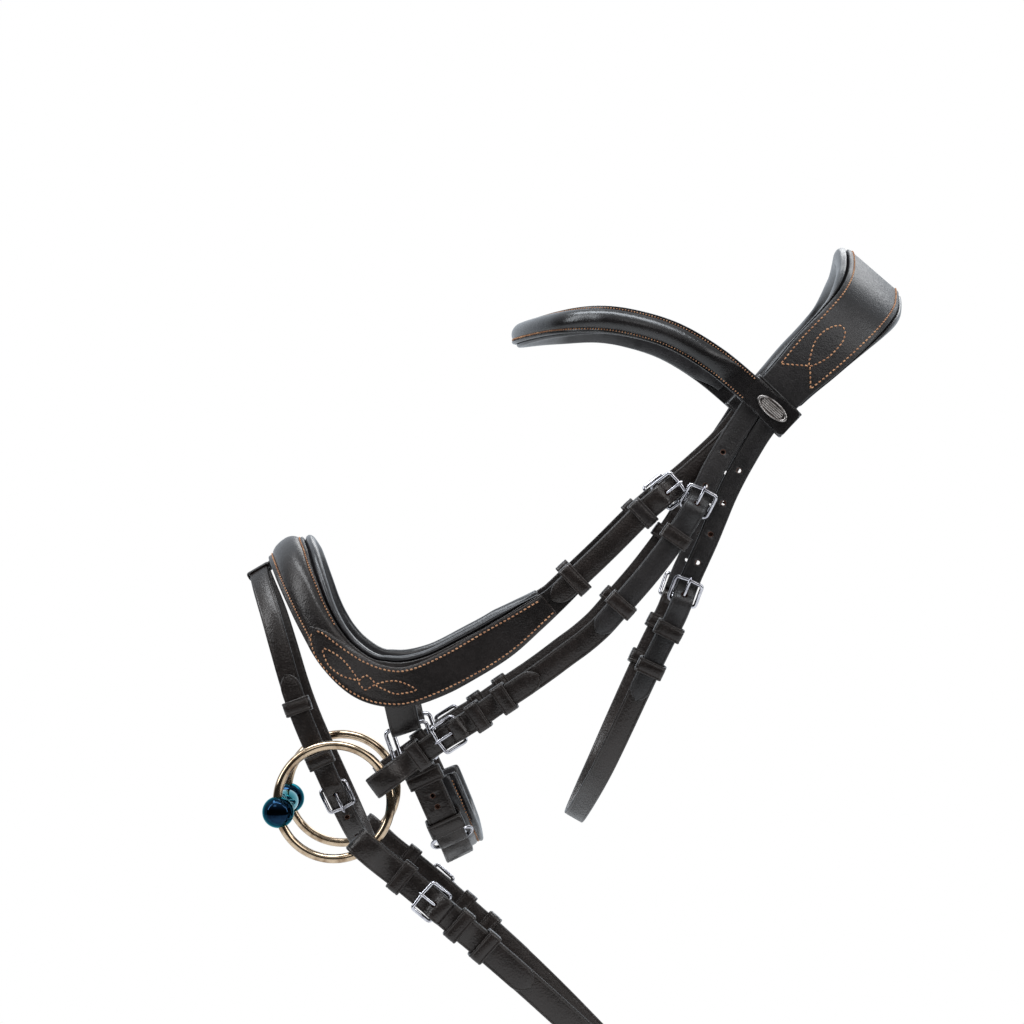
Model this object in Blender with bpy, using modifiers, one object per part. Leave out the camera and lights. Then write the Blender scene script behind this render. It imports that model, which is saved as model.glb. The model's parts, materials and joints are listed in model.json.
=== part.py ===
"""A padded English bridle with flash noseband, loose-ring bit and reins, as it hangs on a horse's head.

Metres, +Z up, +X from the nose towards the neck, -Y the near (left) side. The origin is at the poll,
under the middle of the crown pad. Places along the straps are read off a side view of the bridle, in
picture columns and rows, and turned into metres by PIXEL. Depths and turns are shares.
"""

import math

import bmesh
import bpy
from mathutils import Matrix, Vector

# The side view that the places are read from
PIXEL = 0.0006
EYE_DISTANCE = 3.0
SIDE_DEPTH = 0.075
MIDDLE_COLUMN, MIDDLE_ROW = 512, 512
POLL_COLUMN, POLL_ROW = 860, 287

# Head
HEAD_HALF_WIDTH = 0.1
STEP = 0.0135

# Leather
LEATHER = 0.0025
GAP = 0.0004
ROOM = 0.0006
KEEPER_ROOM = 0.0009
FOLD = 0.022
CHAPE = 0.0021
KEEPER_LEATHER = 0.0016
KEEPER_LENGTH = 0.009
LAYER = LEATHER + 1.5 * GAP
SEWN = 0.0003
HOLE = 0.0013

# Widths across the straps
CROWN_WIDTH = 0.042
CHEEK_WIDTH = 0.0140
THROAT_WIDTH = 0.0130
HANGER_WIDTH = 0.0140
NOSEBAND_WIDTH = 0.0300
BROWBAND_WIDTH = 0.0168
FLASH_WIDTH = 0.0125
REIN_WIDTH = 0.0165
CHIN_WIDTH = 0.0180
TAB_WIDTH = 0.0185
TIP_SHARE = 0.3

# Padding
CROWN_PAD = 0.0100
CROWN_PAD_OVERHANG = 0.0050
NOSE_PAD = 0.0050
NOSE_PAD_RIM = 0.0060
BROW_PAD = 0.0035
NOSE_ROLL = 0.0045
BROW_ROLL = 0.0042
CHIN_PAD = 0.0090
CHIN_PAD_WIDTH = 0.0270
CHIN_PAD_SHIFT = 0.0050
NOSE_PAD_FOOT_SHARE = 0.20
ARCH_RISE_SHARE, ARCH_CREST_SHARE, ARCH_FOOT_SHARE = 0.74, 0.26, 0.56
ROLL_WIDTH_SHARES = (-1.0, -0.66, -0.36, 0.36, 0.66, 1.0)
ROLL_RISE_SHARES = (0.0, 0.04, 0.90, 0.90, 0.04, 0.0)

# Buckles
BAR = 0.0012
TONGUE = 0.0010
BUCKLE_REACH = 0.0140
TONGUE_PLAY = 0.0005

# Browband loops and badges, flash loop
LOOP_LENGTH = 0.0190
LOOP_SHIFT = 0.0012
LOOP_SPARE = 0.0015
FLASH_LOOP_LENGTH = 0.0160
FLASH_DROP = 0.0086
FLASH_SINK = 0.0024
BADGE_LENGTH, BADGE_WIDTH, BADGE_THICKNESS = 0.0220, 0.0095, 0.0012

# Bit
RING_RADIUS = 0.0341
RING_WIRE = 0.00275
RING_DEPTH = 0.0740
LOOP_BEHIND = 0.0043
RING_COLUMN, RING_ROW = 334, 802
BALL_COLUMN, BALL_ROW = 279, 812
BALL_RADIUS = 0.0096
BALL_CAP = 0.0066
BORE_GAP = 0.0005
ARM_RADIUS = 0.0072
ARM_NECK = 0.0042
EYE_RADIUS, EYE_WIRE = 0.0052, 0.0019
LINK_HALF = 0.0090
LINK_WIDTH, LINK_HEIGHT = 0.0095, 0.0060
LINK_SLACK = 0.0004
LOOP_SLACK = 0.0040
ARM_SIDES = 12

# Dees, chin roller
DEE_WIRE = 0.0013
DEE_LENGTH = 0.0255
DEE_CORNER_SHARE = 0.11
CHIN_TAIL = 0.0150
ROLLER_FRAME = 0.0130
ROLLER_RADIUS = 0.0034
ROLLER_WIRE = 0.0012

NEAR, FLIP = Vector((0, -1, 0)), Vector((1, -1, 1))
RING_SIDES, WIRE_SIDES = 30, 8
FINE = 24
MERGE, WELD = 0.000001, 0.00001
FLAT = math.radians(1.2)


def pixel_at(depth):
    """How much one picture column or row is at this depth, in metres."""
    return PIXEL * (EYE_DISTANCE + depth + SIDE_DEPTH) / EYE_DISTANCE


def seen(column, row, depth):
    """The place at this depth that shows at this column and row."""
    scale, poll = pixel_at(depth), pixel_at(0)
    x = (column - MIDDLE_COLUMN) * scale - (POLL_COLUMN - MIDDLE_COLUMN) * poll
    z = (MIDDLE_ROW - row) * scale - (MIDDLE_ROW - POLL_ROW) * poll
    return Vector((x, depth, z))


def in_picture(point):
    """The column and row that a place shows at."""
    scale, poll = pixel_at(point.y), pixel_at(0)
    column = MIDDLE_COLUMN + (point.x + (POLL_COLUMN - MIDDLE_COLUMN) * poll) / scale
    row = MIDDLE_ROW - (point.z + (MIDDLE_ROW - POLL_ROW) * poll) / scale
    return column, row


def curve_value(values, place, before=None, after=None):
    """A Catmull-Rom curve through evenly numbered values, read at a fractional number."""
    last = len(values) - 1
    i = min(int(place), last - 1)
    t = place - i
    a, b, c, d = (values[min(max(k, 0), last)] for k in (i - 1, i, i + 1, i + 2))
    if i == 0:
        a = b + (b - c) if before is None else before
    if i == last - 1:
        d = c + (c - b) if after is None else after
    return 0.5 * (2 * b + (c - a) * t + (2 * a - 5 * b + 4 * c - d) * t**2 + (3 * b - a - 3 * c + d) * t**3)


class Line:
    """A smooth route over the head, with its length, and a frame of its own at each place.

    T runs along it, N points out from the head and W runs across, so T x N = W.
    Where it meets the middle plane it goes straight across.
    """

    def __init__(self, pixels, depth_shares, turn_shares=(), away=(0, 0, 1), width_shares=(), upper_shares=()):
        places = [seen(c, r, -share * HEAD_HALF_WIDTH) for (c, r), share in zip(pixels, depth_shares)]
        turns = list(turn_shares) or [0.0] * len(places)
        widths = list(width_shares) or [1.0] * len(places)
        uppers = list(upper_shares) or [1.0] * len(places)
        self.opens, self.closes = depth_shares[0] == 0, depth_shares[-1] == 0
        before = places[1] * FLIP if self.opens else None
        after = places[-2] * FLIP if self.closes else None
        places_at = [k / FINE for k in range(FINE * (len(places) - 1) + 1)]
        self.points = [curve_value(places, k, before, after) for k in places_at]
        self.turns = [curve_value(turns, k) for k in places_at]
        self.shares = [curve_value(widths, k) for k in places_at]
        self.uppers = [curve_value(uppers, k) for k in places_at]
        self.away = Vector(away).normalized()
        self.lengths = [0.0]
        for a, b in zip(self.points, self.points[1:]):
            self.lengths.append(self.lengths[-1] + (b - a).length)
        self.length = self.lengths[-1]

    def spot(self, s):
        """The span that holds the length s, and how far along it s is."""
        s = min(max(s, 0.0), self.length)
        low, high = 0, len(self.lengths) - 2
        while low < high:
            middle = (low + high + 1) // 2
            low, high = (middle, high) if self.lengths[middle] <= s else (low, middle - 1)
        return low, (s - self.lengths[low]) / (self.lengths[low + 1] - self.lengths[low])

    def share(self, s):
        i, t = self.spot(s)
        return self.shares[i] * (1 - t) + self.shares[i + 1] * t

    def upper(self, s):
        """How much of the half-width lies above the line."""
        i, t = self.spot(s)
        return self.uppers[i] * (1 - t) + self.uppers[i + 1] * t

    def tangent(self, k):
        last = len(self.points) - 1
        if self.closes and k == last:
            return Vector((0, 1, 0))
        if self.opens and k == 0:
            return NEAR
        return (self.points[min(k + 1, last)] - self.points[max(k - 1, 0)]).normalized()

    def frame(self, s):
        """Place, T, N and W at the length s, straight on past both ends."""
        i, t = self.spot(s)
        place = self.points[i].lerp(self.points[i + 1], t)
        along = self.tangent(i).lerp(self.tangent(i + 1), t).normalized()
        turn = (self.turns[i] * (1 - t) + self.turns[i + 1] * t) * math.pi / 2
        out = NEAR * math.cos(turn) + self.away * math.sin(turn)
        out = (out - along * out.dot(along)).normalized()
        place = place + along * (s - min(max(s, 0.0), self.length))
        return place, along, out, along.cross(out)

    def at(self, s, n=0.0, w=0.0):
        place, along, out, across = self.frame(s)
        return place + out * n + across * w

    def near(self, column, row):
        """The length at which the line shows nearest to this column and row."""
        places = [in_picture(point) for point in self.points]
        best = min(range(len(places)), key=lambda k: math.dist(places[k], (column, row)))
        return self.lengths[best]


def collection(name, hidden=False):
    made = bpy.data.collections.new(name)
    made.hide_render = hidden
    bpy.context.scene.collection.children.link(made)
    return made


def material(name, colour, roughness, metallic=0.0):
    made = bpy.data.materials.new(name)
    made.use_nodes = True
    shader = made.node_tree.nodes["Principled BSDF"]
    shader.inputs["Base Color"].default_value = (*colour, 1.0)
    shader.inputs["Roughness"].default_value = roughness
    shader.inputs["Metallic"].default_value = metallic
    made.diffuse_color = (*colour, 1.0)
    return made


def new_object(name, mesh, place="part"):
    made = bpy.data.objects.new(name, mesh)
    GROUPS[place].objects.link(made)
    if place == "cutters":
        made.hide_render = True
        made.display_type = "WIRE"
    return made


def mesh_object(name, vertices, faces, place="part"):
    mesh = bpy.data.meshes.new(name)
    mesh.from_pydata([tuple(v) for v in vertices], [], faces)
    mesh.update()
    return new_object(name, mesh, place)


def evaluated_mesh(obj):
    bpy.context.view_layer.update()
    graph = bpy.context.evaluated_depsgraph_get()
    return bpy.data.meshes.new_from_object(obj.evaluated_get(graph), depsgraph=graph)


def settle(obj):
    """Turns an object's modifiers into its mesh, and lets one object stand for each curve."""
    name, place = obj.name, obj.users_collection[0]
    mesh = evaluated_mesh(obj)
    mesh.transform(obj.matrix_world)
    bpy.data.objects.remove(obj)
    work = bmesh.new()
    work.from_mesh(mesh)
    bmesh.ops.remove_doubles(work, verts=work.verts, dist=MERGE)
    bmesh.ops.dissolve_degenerate(work, edges=work.edges, dist=MERGE)
    work.to_mesh(mesh)
    work.free()
    made = bpy.data.objects.new(name, mesh)
    made.hide_render = place.name == GROUPS["cutters"].name
    place.objects.link(made)
    mesh.name = name
    return made


def thicken(obj, thickness):
    solid = obj.modifiers.new("Solidify", "SOLIDIFY")
    solid.thickness = thickness
    solid.offset = 0
    solid.use_even_offset = True
    return obj


def welded(obj):
    """Joins the two ends of a sleeve's outline, so that its wall goes all the way round."""
    weld = obj.modifiers.new("Weld", "WELD")
    weld.merge_threshold = MERGE
    return obj


def mirrored(obj):
    mirror = obj.modifiers.new("Mirror", "MIRROR")
    mirror.use_axis = (False, True, False)
    mirror.merge_threshold = WELD
    return obj


def strip(name, rows, place="part"):
    """An open surface through rows of points, all of the same count."""
    across = len(rows[0])
    vertices = [p for row in rows for p in row]
    faces = [
        (i * across + j, i * across + j + 1, (i + 1) * across + j + 1, (i + 1) * across + j)
        for i in range(len(rows) - 1)
        for j in range(across - 1)
    ]
    return mesh_object(name, vertices, faces, place)


def tube(name, places, radius, cyclic=False, sides=6, place="part"):
    """A round wire through the places."""
    curve = bpy.data.curves.new(name, "CURVE")
    curve.dimensions = "3D"
    curve.bevel_depth = radius
    curve.bevel_resolution = sides // 2 - 2
    curve.use_fill_caps = not cyclic
    spline = curve.splines.new("POLY")
    spline.points.add(len(places) - 1)
    for point, where in zip(spline.points, places):
        point.co = (*where, 1)
    spline.use_cyclic_u = cyclic
    return settle(new_object(name, curve, place))


def frame_matrix(place, along, out):
    """Local X along, local Z out."""
    turned = Matrix((along, out.cross(along), out)).transposed().to_4x4()
    turned.translation = place
    return turned


def box(name, matrix, sides, place="cutters"):
    work = bmesh.new()
    bmesh.ops.create_cube(work, size=1)
    bmesh.ops.scale(work, vec=Vector(sides), verts=work.verts)
    bmesh.ops.transform(work, matrix=matrix, verts=work.verts)
    return finished(name, work, place)


def rod(name, start, end, radius, sides=6, place="cutters"):
    """A cylinder between two places."""
    work = bmesh.new()
    run = end - start
    turned = run.to_track_quat("Z", "Y").to_matrix().to_4x4()
    turned.translation = (start + end) / 2
    bmesh.ops.create_cone(
        work,
        cap_ends=True,
        segments=sides,
        radius1=radius,
        radius2=radius,
        depth=run.length,
        matrix=turned,
    )
    return finished(name, work, place)


def ball(name, centre, radius, sides=16, rings=10, place="cutters"):
    work = bmesh.new()
    bmesh.ops.create_uvsphere(work, u_segments=sides, v_segments=rings, radius=radius)
    bmesh.ops.transform(work, matrix=Matrix.Translation(centre), verts=work.verts)
    return finished(name, work, place)


def torus(name, centre, axis, radius, wire, sides=RING_SIDES, wire_sides=WIRE_SIDES, place="part"):
    turned = axis.to_track_quat("Z", "Y")
    bpy.ops.mesh.primitive_torus_add(
        location=centre,
        rotation=turned.to_euler(),
        major_radius=radius,
        minor_radius=wire,
        major_segments=sides,
        minor_segments=wire_sides,
    )
    made = bpy.context.object
    made.name = name
    for group in list(made.users_collection):
        group.objects.unlink(made)
    GROUPS[place].objects.link(made)
    return settle(made)


def finished(name, work, place):
    mesh = bpy.data.meshes.new(name)
    work.to_mesh(mesh)
    work.free()
    return new_object(name, mesh, place)


def boolean(obj, other, operation):
    modifier = obj.modifiers.new(operation.title(), "BOOLEAN")
    modifier.operation = operation
    modifier.solver = "EXACT"
    modifier.object = other
    return obj


def join(obj, others):
    """One solid from overlapping ones."""
    obj = settle(obj)
    for other in others:
        other = settle(other)
        boolean(obj, other, "UNION")
        obj = settle(obj)
        bpy.data.objects.remove(other)
    return obj


def cut(obj, cutters):
    for cutter in cutters:
        boolean(obj, cutter, "DIFFERENCE")
    obj = settle(obj)
    for cutter in cutters:
        bpy.data.objects.remove(cutter)
    return obj


def merge_flat(mesh):
    """Joins the faces of each flat stretch."""
    work = bmesh.new()
    work.from_mesh(mesh)
    bmesh.ops.dissolve_limit(work, angle_limit=FLAT, verts=work.verts, edges=work.edges)
    bmesh.ops.triangulate(work, faces=work.faces)
    work.to_mesh(mesh)
    work.free()


def give(obj, name, look, origin=None):
    """Names a finished piece, gives it its material and sets its origin."""
    obj = settle(obj)
    if look != "padding":
        merge_flat(obj.data)
    obj.name = name
    obj.data.name = name
    obj.data.materials.clear()
    obj.data.materials.append(LOOKS[look])
    obj.data.shade_smooth()
    obj.data.set_sharp_from_angle(angle=math.radians(40))
    if origin is not None:
        obj.data.transform(Matrix.Translation(-origin))
        obj.location = origin
    return obj


def other_side(obj, name):
    """The same piece on the far side of the head."""
    mesh = obj.data.copy()
    mesh.transform(Matrix.Diagonal((1, -1, 1, 1)))
    mesh.flip_normals()
    made = bpy.data.objects.new(name, mesh)
    mesh.name = name
    made.location = (obj.location.x, -obj.location.y, obj.location.z)
    obj.users_collection[0].objects.link(made)
    return made


def pair(obj, name, look, origin=None):
    near = give(obj, name + "_left", look, origin)
    return near, other_side(near, name + "_right")


def run(start, end, n=0.0, step=None):
    """Evenly spaced (s, n) places along a stretch at one height."""
    count = max(1, round(abs(end - start) / (step or STEP)))
    return [(start + (end - start) * k / count, n) for k in range(count + 1)]


def ribbon(name, line, path, width, thickness=LEATHER, point=0.0, shift=0.0):
    """A flat strap through (s, n) places of a line. A point narrows the last places to a tip."""
    rows = []
    for k, (s, n) in enumerate(path):
        half = width / 2 * (point if point and k == len(path) - 1 else 1)
        rows.append([line.at(s, n, shift - half), line.at(s, n, shift + half)])
    return thicken(strip(name, rows), thickness)


class Station:
    """A buckle on a line: the pivot bar's place, which way its outer bar lies, and its height.

    u runs along the strap from the pivot bar to the outer bar, n out from the strap's own line.
    An end buckle sits in the fold of a strap's end. A riding buckle sits on a strap that runs on.
    """

    def __init__(self, line, place, sign, width, riding=False):
        self.line, self.place, self.sign, self.width, self.riding = line, place, sign, width, riding
        layer = LAYER
        self.bar = LEATHER / 2 + GAP + BAR if riding else -layer / 2
        self.wrap = CHAPE if riding else LEATHER
        self.over = BAR + ROOM + self.wrap + GAP + LEATHER / 2
        self.far = layer * 1.15 if riding else 0.0
        self.on_chape = LEATHER / 2 + CHAPE - SEWN + GAP + LEATHER / 2 if riding else layer
        self.outer = self.far + LEATHER / 2 + GAP + BAR

    def s(self, u):
        return self.place + self.sign * u

    def at(self, u, n, w=0.0):
        return self.line.at(self.s(u), n, w)

    def eye_path(self):
        """The fold of an end buckle: out round the bar and back behind."""
        loop, layer = BAR + GAP + LEATHER / 2, LAYER
        lead = [(-2.2 * loop, 0.0), (-1.5 * loop, 0.08 * loop), (-0.8 * loop, 0.32 * loop)]
        turn = [
            (loop * math.cos(math.radians(a)), self.bar + loop * math.sin(math.radians(a)))
            for a in (90, 60, 30, 0, -30, -60, -90)
        ]
        back = [(u, 2 * self.bar - n) for u, n in reversed(lead)]
        tail = [(-0.5 * FOLD, -layer), (-FOLD, -layer)]
        return [(self.s(u), n) for u, n in lead + turn + back + tail]

    def arch_path(self):
        """The short strap that holds a riding buckle's bar down, sewn on at both ends."""
        arch, flat = BAR + ROOM + CHAPE / 2, LEATHER / 2 + CHAPE / 2 - SEWN
        half = [(-FOLD * 0.8, flat), (-1.9 * arch, flat), (-1.2 * arch, self.bar)]
        turn = [
            (arch * math.cos(math.radians(a)), self.bar + arch * math.sin(math.radians(a)))
            for a in (150, 120, 90, 60, 30)
        ]
        end = [(1.2 * arch, self.bar), (1.9 * arch, flat), (FOLD * 0.32, flat)]
        return [(self.s(u), n) for u, n in half + turn + end]

    def billet_path(self):
        """The way of the billet through the buckle, from beyond the outer bar to on top of the strap."""
        over, rise = self.over, self.bar
        away = [(BUCKLE_REACH, self.far), (1.6 * over, self.far)]
        bend = [(1.22 * over, self.far + 0.12 * over)] if not self.riding else []
        turn = [
            (over * math.cos(math.radians(a)), rise + over * math.sin(math.radians(a)))
            for a in ((32, 60, 90) if not self.riding else (25, 58, 90))
        ]
        down = [(-0.42 * over, rise + 0.94 * over)]
        down += [(-0.8 * over, self.on_chape + 0.08 * over), (-1.2 * over, self.on_chape)]
        path = away + bend + turn + down
        if self.riding:
            path += [(-FOLD * 0.85, self.on_chape), (-FOLD * 1.1, LAYER)]
        return [(self.s(u), n) for u, n in path]

    def slots(self, name):
        """Cutters that make room in the strap for the tongue's eye."""
        place, along, out, across = self.line.frame(self.place)
        centre, half = place + out * self.bar, TONGUE + TONGUE_PLAY
        radius = BAR + GAP + self.wrap + GAP / 2
        made = [rod(name, centre - across * half, centre + across * half, radius, sides=12)]
        if self.riding:
            deep = self.bar + LEATHER
            reach = 2 * (BAR + GAP + 2 * TONGUE + GAP)
            matrix = frame_matrix(centre - out * deep / 2, along, out)
            made.append(box(name, matrix, (reach, 2 * half, deep)))
        return made

    def tongue_points(self):
        """The tongue's wire: an eye round the bar, up through the billet, onto the outer bar."""
        eye = BAR + GAP + TONGUE
        rest = self.outer + BAR + GAP + TONGUE
        ring = [
            (eye * math.cos(math.radians(a)), self.bar + eye * math.sin(math.radians(a)))
            for a in (-20, -60, -100, -140, -180, -220, -255, -285)
        ]
        climb = [(0.72 * self.over, self.bar + 0.72 * self.over)]
        climb += [(0.55 * BUCKLE_REACH, rest - 0.25 * self.over)]
        return ring + climb + [(BUCKLE_REACH, rest), (BUCKLE_REACH + 2 * BAR, rest - GAP)]

    def hole(self, name):
        """The hole in the billet that the tongue comes through."""
        a, b = self.tongue_points()[7:9]
        start, end = self.at(*a), self.at(*b)
        return rod(name, start, end + (end - start) * 0.9, TONGUE + TONGUE_PLAY + GAP, sides=8)

    def frame_object(self, name):
        """The wire frame: straight pivot bar, slanting sides, and a bowed outer bar."""
        half = self.width / 2 + ROOM + BAR
        round_off = BAR
        rise = (self.outer - self.bar) / BUCKLE_REACH
        near = [(0.0, half - round_off), (round_off, half)]
        far = [(BUCKLE_REACH - round_off, half), (BUCKLE_REACH, half - round_off)]
        outline = near + far + [(BUCKLE_REACH + 0.4 * BAR, 0.0)]
        outline += [(u, -w) for u, w in reversed(near + far)]
        places = [self.at(u, self.bar + rise * u, w) for u, w in outline]
        return tube(name, places, BAR, cyclic=True)

    def tongue_object(self, name):
        return tube(name, [self.at(u, n) for u, n in self.tongue_points()], TONGUE, sides=4)

    def hardware(self, name, both=True):
        """The frame and its tongue, on the near side or on both."""
        frame, tongue = self.frame_object(name), self.tongue_object(name + "_tongue")
        pivot = self.at(0.0, self.bar)
        if both:
            pair(frame, name + "_frame", "steel")
            pair(tongue, name + "_tongue", "steel", pivot)
        else:
            give(frame, name + "_frame", "steel")
            give(tongue, name + "_tongue", "steel", pivot)
        across = self.line.frame(self.place)[3]
        note(name + "_tongue", pivot, across * self.sign)


def note(name, place, axis):
    print("AXIS", name, [round(v, 6) for v in place], [round(v, 6) for v in axis])


def sleeve_outline(low, high, width, thickness):
    """The middle of a sleeve's wall as (w, n) places. low and high are its clear inside."""
    half, grow = width / 2 + ROOM, thickness / 2
    corner = thickness
    bottom, top, side = low - grow, high + grow, half + grow
    outline = [(-side, bottom + corner), (-side + corner, bottom)]
    outline += [(side - corner, bottom), (side, bottom + corner)]
    outline += [(side, top - corner), (side - corner, top)]
    return outline + [(-side + corner, top), (-side, top - corner)]


def sleeve(name, line, places, low, high, width, thickness, shift=0.0):
    """An open sleeve that follows a line, round layers between two heights."""
    outline = sleeve_outline(low, high, width, thickness)
    rings = [[line.at(place, n, shift + w) for w, n in outline] for place in places]
    return strip(name, [ring + ring[:1] for ring in rings])


def straight_band(name, line, s, low, high, width):
    """A loose keeper: a short straight sleeve, so that it can slide."""
    place, along, out, across = line.frame(s)
    outline = sleeve_outline(low, high, width, KEEPER_LEATHER)
    rings = []
    for end in (-KEEPER_LENGTH / 2, KEEPER_LENGTH / 2):
        ring = [place + along * end + out * n + across * w for w, n in outline]
        rings.append(ring + ring[:1])
    return thicken(welded(strip(name, rings)), KEEPER_LEATHER)


def band(name, line, s, low, high, width, length=KEEPER_LENGTH, thickness=KEEPER_LEATHER, shift=0.0):
    """A keeper: a short sleeve."""
    places = (s - length / 2, s + length / 2)
    return thicken(welded(sleeve(name, line, places, low, high, width, thickness, shift)), thickness)


def runner(name, line, s, width, both=True, n=0.0):
    """A sliding keeper round a strap and the billet on it."""
    slide = KEEPER_ROOM + GAP / 2
    low = n - LEATHER / 2 - slide
    high = n + LAYER + LEATHER / 2 + slide
    made = straight_band(name, line, s, low, high, width)
    place, along, out, across = line.frame(s)
    if both:
        pair(made, name, "keeper", place)
    else:
        give(made, name, "keeper", place)
    note(name, place, along)


def holes(line, places, n=0.0, shift=0.0):
    """Cutters for punched holes at these picture places."""
    made = []
    for k, (column, row) in enumerate(places):
        place, along, out, across = line.frame(line.near(column, row))
        middle = place + out * n + across * shift
        made.append(rod("hole", middle - out * LEATHER, middle + out * LEATHER, HOLE))
    return made


# Routes over the head, as (column, row) places with a depth share and a turn share each
CROWN_PIXELS = ((764, 409), (790, 382), (816, 356), (843, 330), (863, 308), (873, 289), (872, 272))
CROWN_DEPTH_SHARES = (0.905, 0.90, 0.875, 0.82, 0.70, 0.44, 0.0)
CROWN_TURN_SHARES = (0.0, 0.03, 0.12, 0.28, 0.50, 0.78, 1.0)
CROWN_WIDTH_SHARES = (0.66, 0.68, 0.78, 0.82, 0.85, 0.91, 0.98)
CROWN_AWAY = (0.65, 0.0, 0.76)

BROWBAND_PIXELS = ((776, 412), (752, 391), (716, 361), (676, 337))
BROWBAND_PIXELS += ((636, 324), (598, 319), (556, 323), (521, 333))
BROWBAND_DEPTH_SHARES = (0.96, 0.96, 0.955, 0.93, 0.89, 0.81, 0.60, 0.0)
BROWBAND_TURN_SHARES = (0.0, 0.02, 0.05, 0.08, 0.16, 0.30, 0.66, 1.0)
BROWBAND_AWAY = (-0.80, 0.0, 0.60)

CHEEK_PIXELS = ((756, 400), (744, 419), (731, 439), (714, 468), (695, 507), (676, 537))
CHEEK_PIXELS += ((648, 574), (621, 605), (595, 633), (565, 656), (535, 678), (502, 700))
CHEEK_PIXELS += ((474, 719), (443, 738), (412, 760), (386, 779))
CHEEK_DEPTH_SHARES = (0.905, 0.91, 0.925, 0.95, 0.965, 0.965, 0.96, 0.95)
LOOP_SHARE = (RING_DEPTH - LOOP_BEHIND) / HEAD_HALF_WIDTH
CHEEK_DEPTH_SHARES += (0.93, 0.905, 0.875, 0.84, 0.81, 0.77, 0.725, LOOP_SHARE)

THROAT_PIXELS = ((772, 418), (758, 438), (745, 460), (728, 492))
THROAT_PIXELS += ((708, 540), (690, 580), (677, 614), (660, 648))
THROAT_PIXELS += ((642, 686), (620, 733), (602, 770), (585, 800), (574, 816))
THROAT_DEPTH_SHARES = (0.905, 0.905, 0.905, 0.91, 0.92, 0.92, 0.915, 0.90, 0.87, 0.80, 0.66, 0.38, 0.0)
THROAT_TURN_SHARES = (0.0, 0.0, 0.0, 0.0, 0.0, 0.02, 0.04, 0.07, 0.12, 0.24, 0.46, 0.76, 1.0)
THROAT_AWAY = (-0.50, 0.0, -0.86)

NOSE_PIXELS = ((758, 404), (744, 422), (728, 440), (712, 455), (694, 471), (677, 485), (658, 500), (640, 516))
NOSE_PIXELS += ((610, 546), (585, 570), (560, 593), (530, 618))
NOSE_PIXELS += ((500, 640), (466, 658), (434, 673), (402, 682))
NOSE_PIXELS += ((370, 676), (343, 652), (322, 618), (304, 582), (294, 558), (290, 546))
NOSE_DEPTH_SHARES = (0.868, 0.870, 0.873, 0.880, 0.887, 0.893, 0.895, 0.897)
NOSE_DEPTH_SHARES += (0.90, 0.90, 0.90, 0.90, 0.875, 0.84, 0.80, 0.76, 0.72, 0.66, 0.59, 0.47, 0.28, 0.0)
NOSE_TURN_SHARES = (0.0,) * 11 + (0.01, 0.03, 0.05, 0.08, 0.12, 0.18, 0.28, 0.42, 0.62, 0.82, 1.0)
NOSE_WIDTH_SHARES = (0.44,) * 9 + (0.46, 0.55, 0.66, 0.80, 0.92, 0.99, 1.02, 1.05, 1.05, 1.02, 1.0, 1.0, 1.0)
NOSE_UPPER_SHARES = (1.0,) * 10 + (0.95, 0.93, 0.91, 0.83, 0.76, 0.75, 0.66, 0.49, 0.41, 0.50, 0.64, 0.74)
NOSE_AWAY = (-0.51, 0.0, 0.86)

FLASH_PIXELS = ((262, 585), (271, 616), (281, 652))
FLASH_PIXELS += ((293, 693), (306, 728), (322, 764), (338, 798))
FLASH_PIXELS += ((352, 826), (364, 846), (369, 853))
FLASH_DEPTH_SHARES = (0.0, 0.22, 0.42, 0.50, 0.53, 0.54, 0.54, 0.52, 0.44, 0.24, 0.0)
FLASH_TURN_SHARES = (1.0, 0.74, 0.40, 0.20, 0.08, 0.02, 0.0, 0.0, -0.3, -0.72, -1.0)
FLASH_AWAY = (-0.51, 0.0, 0.86)

REIN_PIXELS = ((367, 848), (384, 863), (402, 877), (430, 900))
REIN_PIXELS += ((457, 923), (483, 945), (520, 977), (560, 1013))
REIN_PIXELS += ((600, 1050), (640, 1086), (664, 1108))
REIN_DEPTH_SHARES = (LOOP_SHARE, 0.70, 0.705, 0.70, 0.69, 0.67, 0.61, 0.51, 0.37, 0.20, 0.10)

TAB_PIXELS = ((397, 693), (400, 706), (405, 727), (412, 747), (419, 766))
TAB_DEPTH_SHARES = (0.742, 0.705, 0.65, 0.625, 0.61)

CHIN_PIXELS = ((419, 766), (428, 785), (440, 812), (452, 838), (462, 859), (467, 870), (469, 874))
CHIN_DEPTH_SHARES = (0.61, 0.61, 0.60, 0.54, 0.38, 0.18, 0.0)
CHIN_TURN_SHARES = (0.0, 0.0, 0.08, 0.28, 0.58, 0.84, 1.0)
CHIN_AWAY = (0.44, 0.0, -0.90)

# Places of buckles, keepers and tips along the straps
NOSE_BUCKLE_PIXELS, NOSE_KEEPER_PIXELS = (660, 498), (643, 513)
NOSE_RUNNER_PIXELS, NOSE_TIP_PIXELS = (576, 580), (552, 601)
CHEEK_BUCKLE_PIXELS, CHEEK_KEEPER_PIXELS = (692, 511), (676, 537)
CHEEK_RUNNER_PIXELS, CHEEK_TIP_PIXELS = (621, 605), (596, 632)
LOWER_BUCKLE_PIXELS, LOWER_KEEPER_PIXELS = (460, 727), (478, 714)
LOWER_END_KEEPER_PIXELS, LOWER_TIP_PIXELS, BIT_KEEPER_PIXELS = (504, 698), (541, 675), (419, 754)
THROAT_BUCKLE_PIXELS, THROAT_KEEPER_PIXELS = (683, 603), (671, 631)
THROAT_RUNNER_PIXELS, THROAT_TIP_PIXELS = (650, 667), (636, 700)
FLASH_BUCKLE_PIXELS, FLASH_KEEPER_PIXELS = (333, 786), (321, 760)
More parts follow.
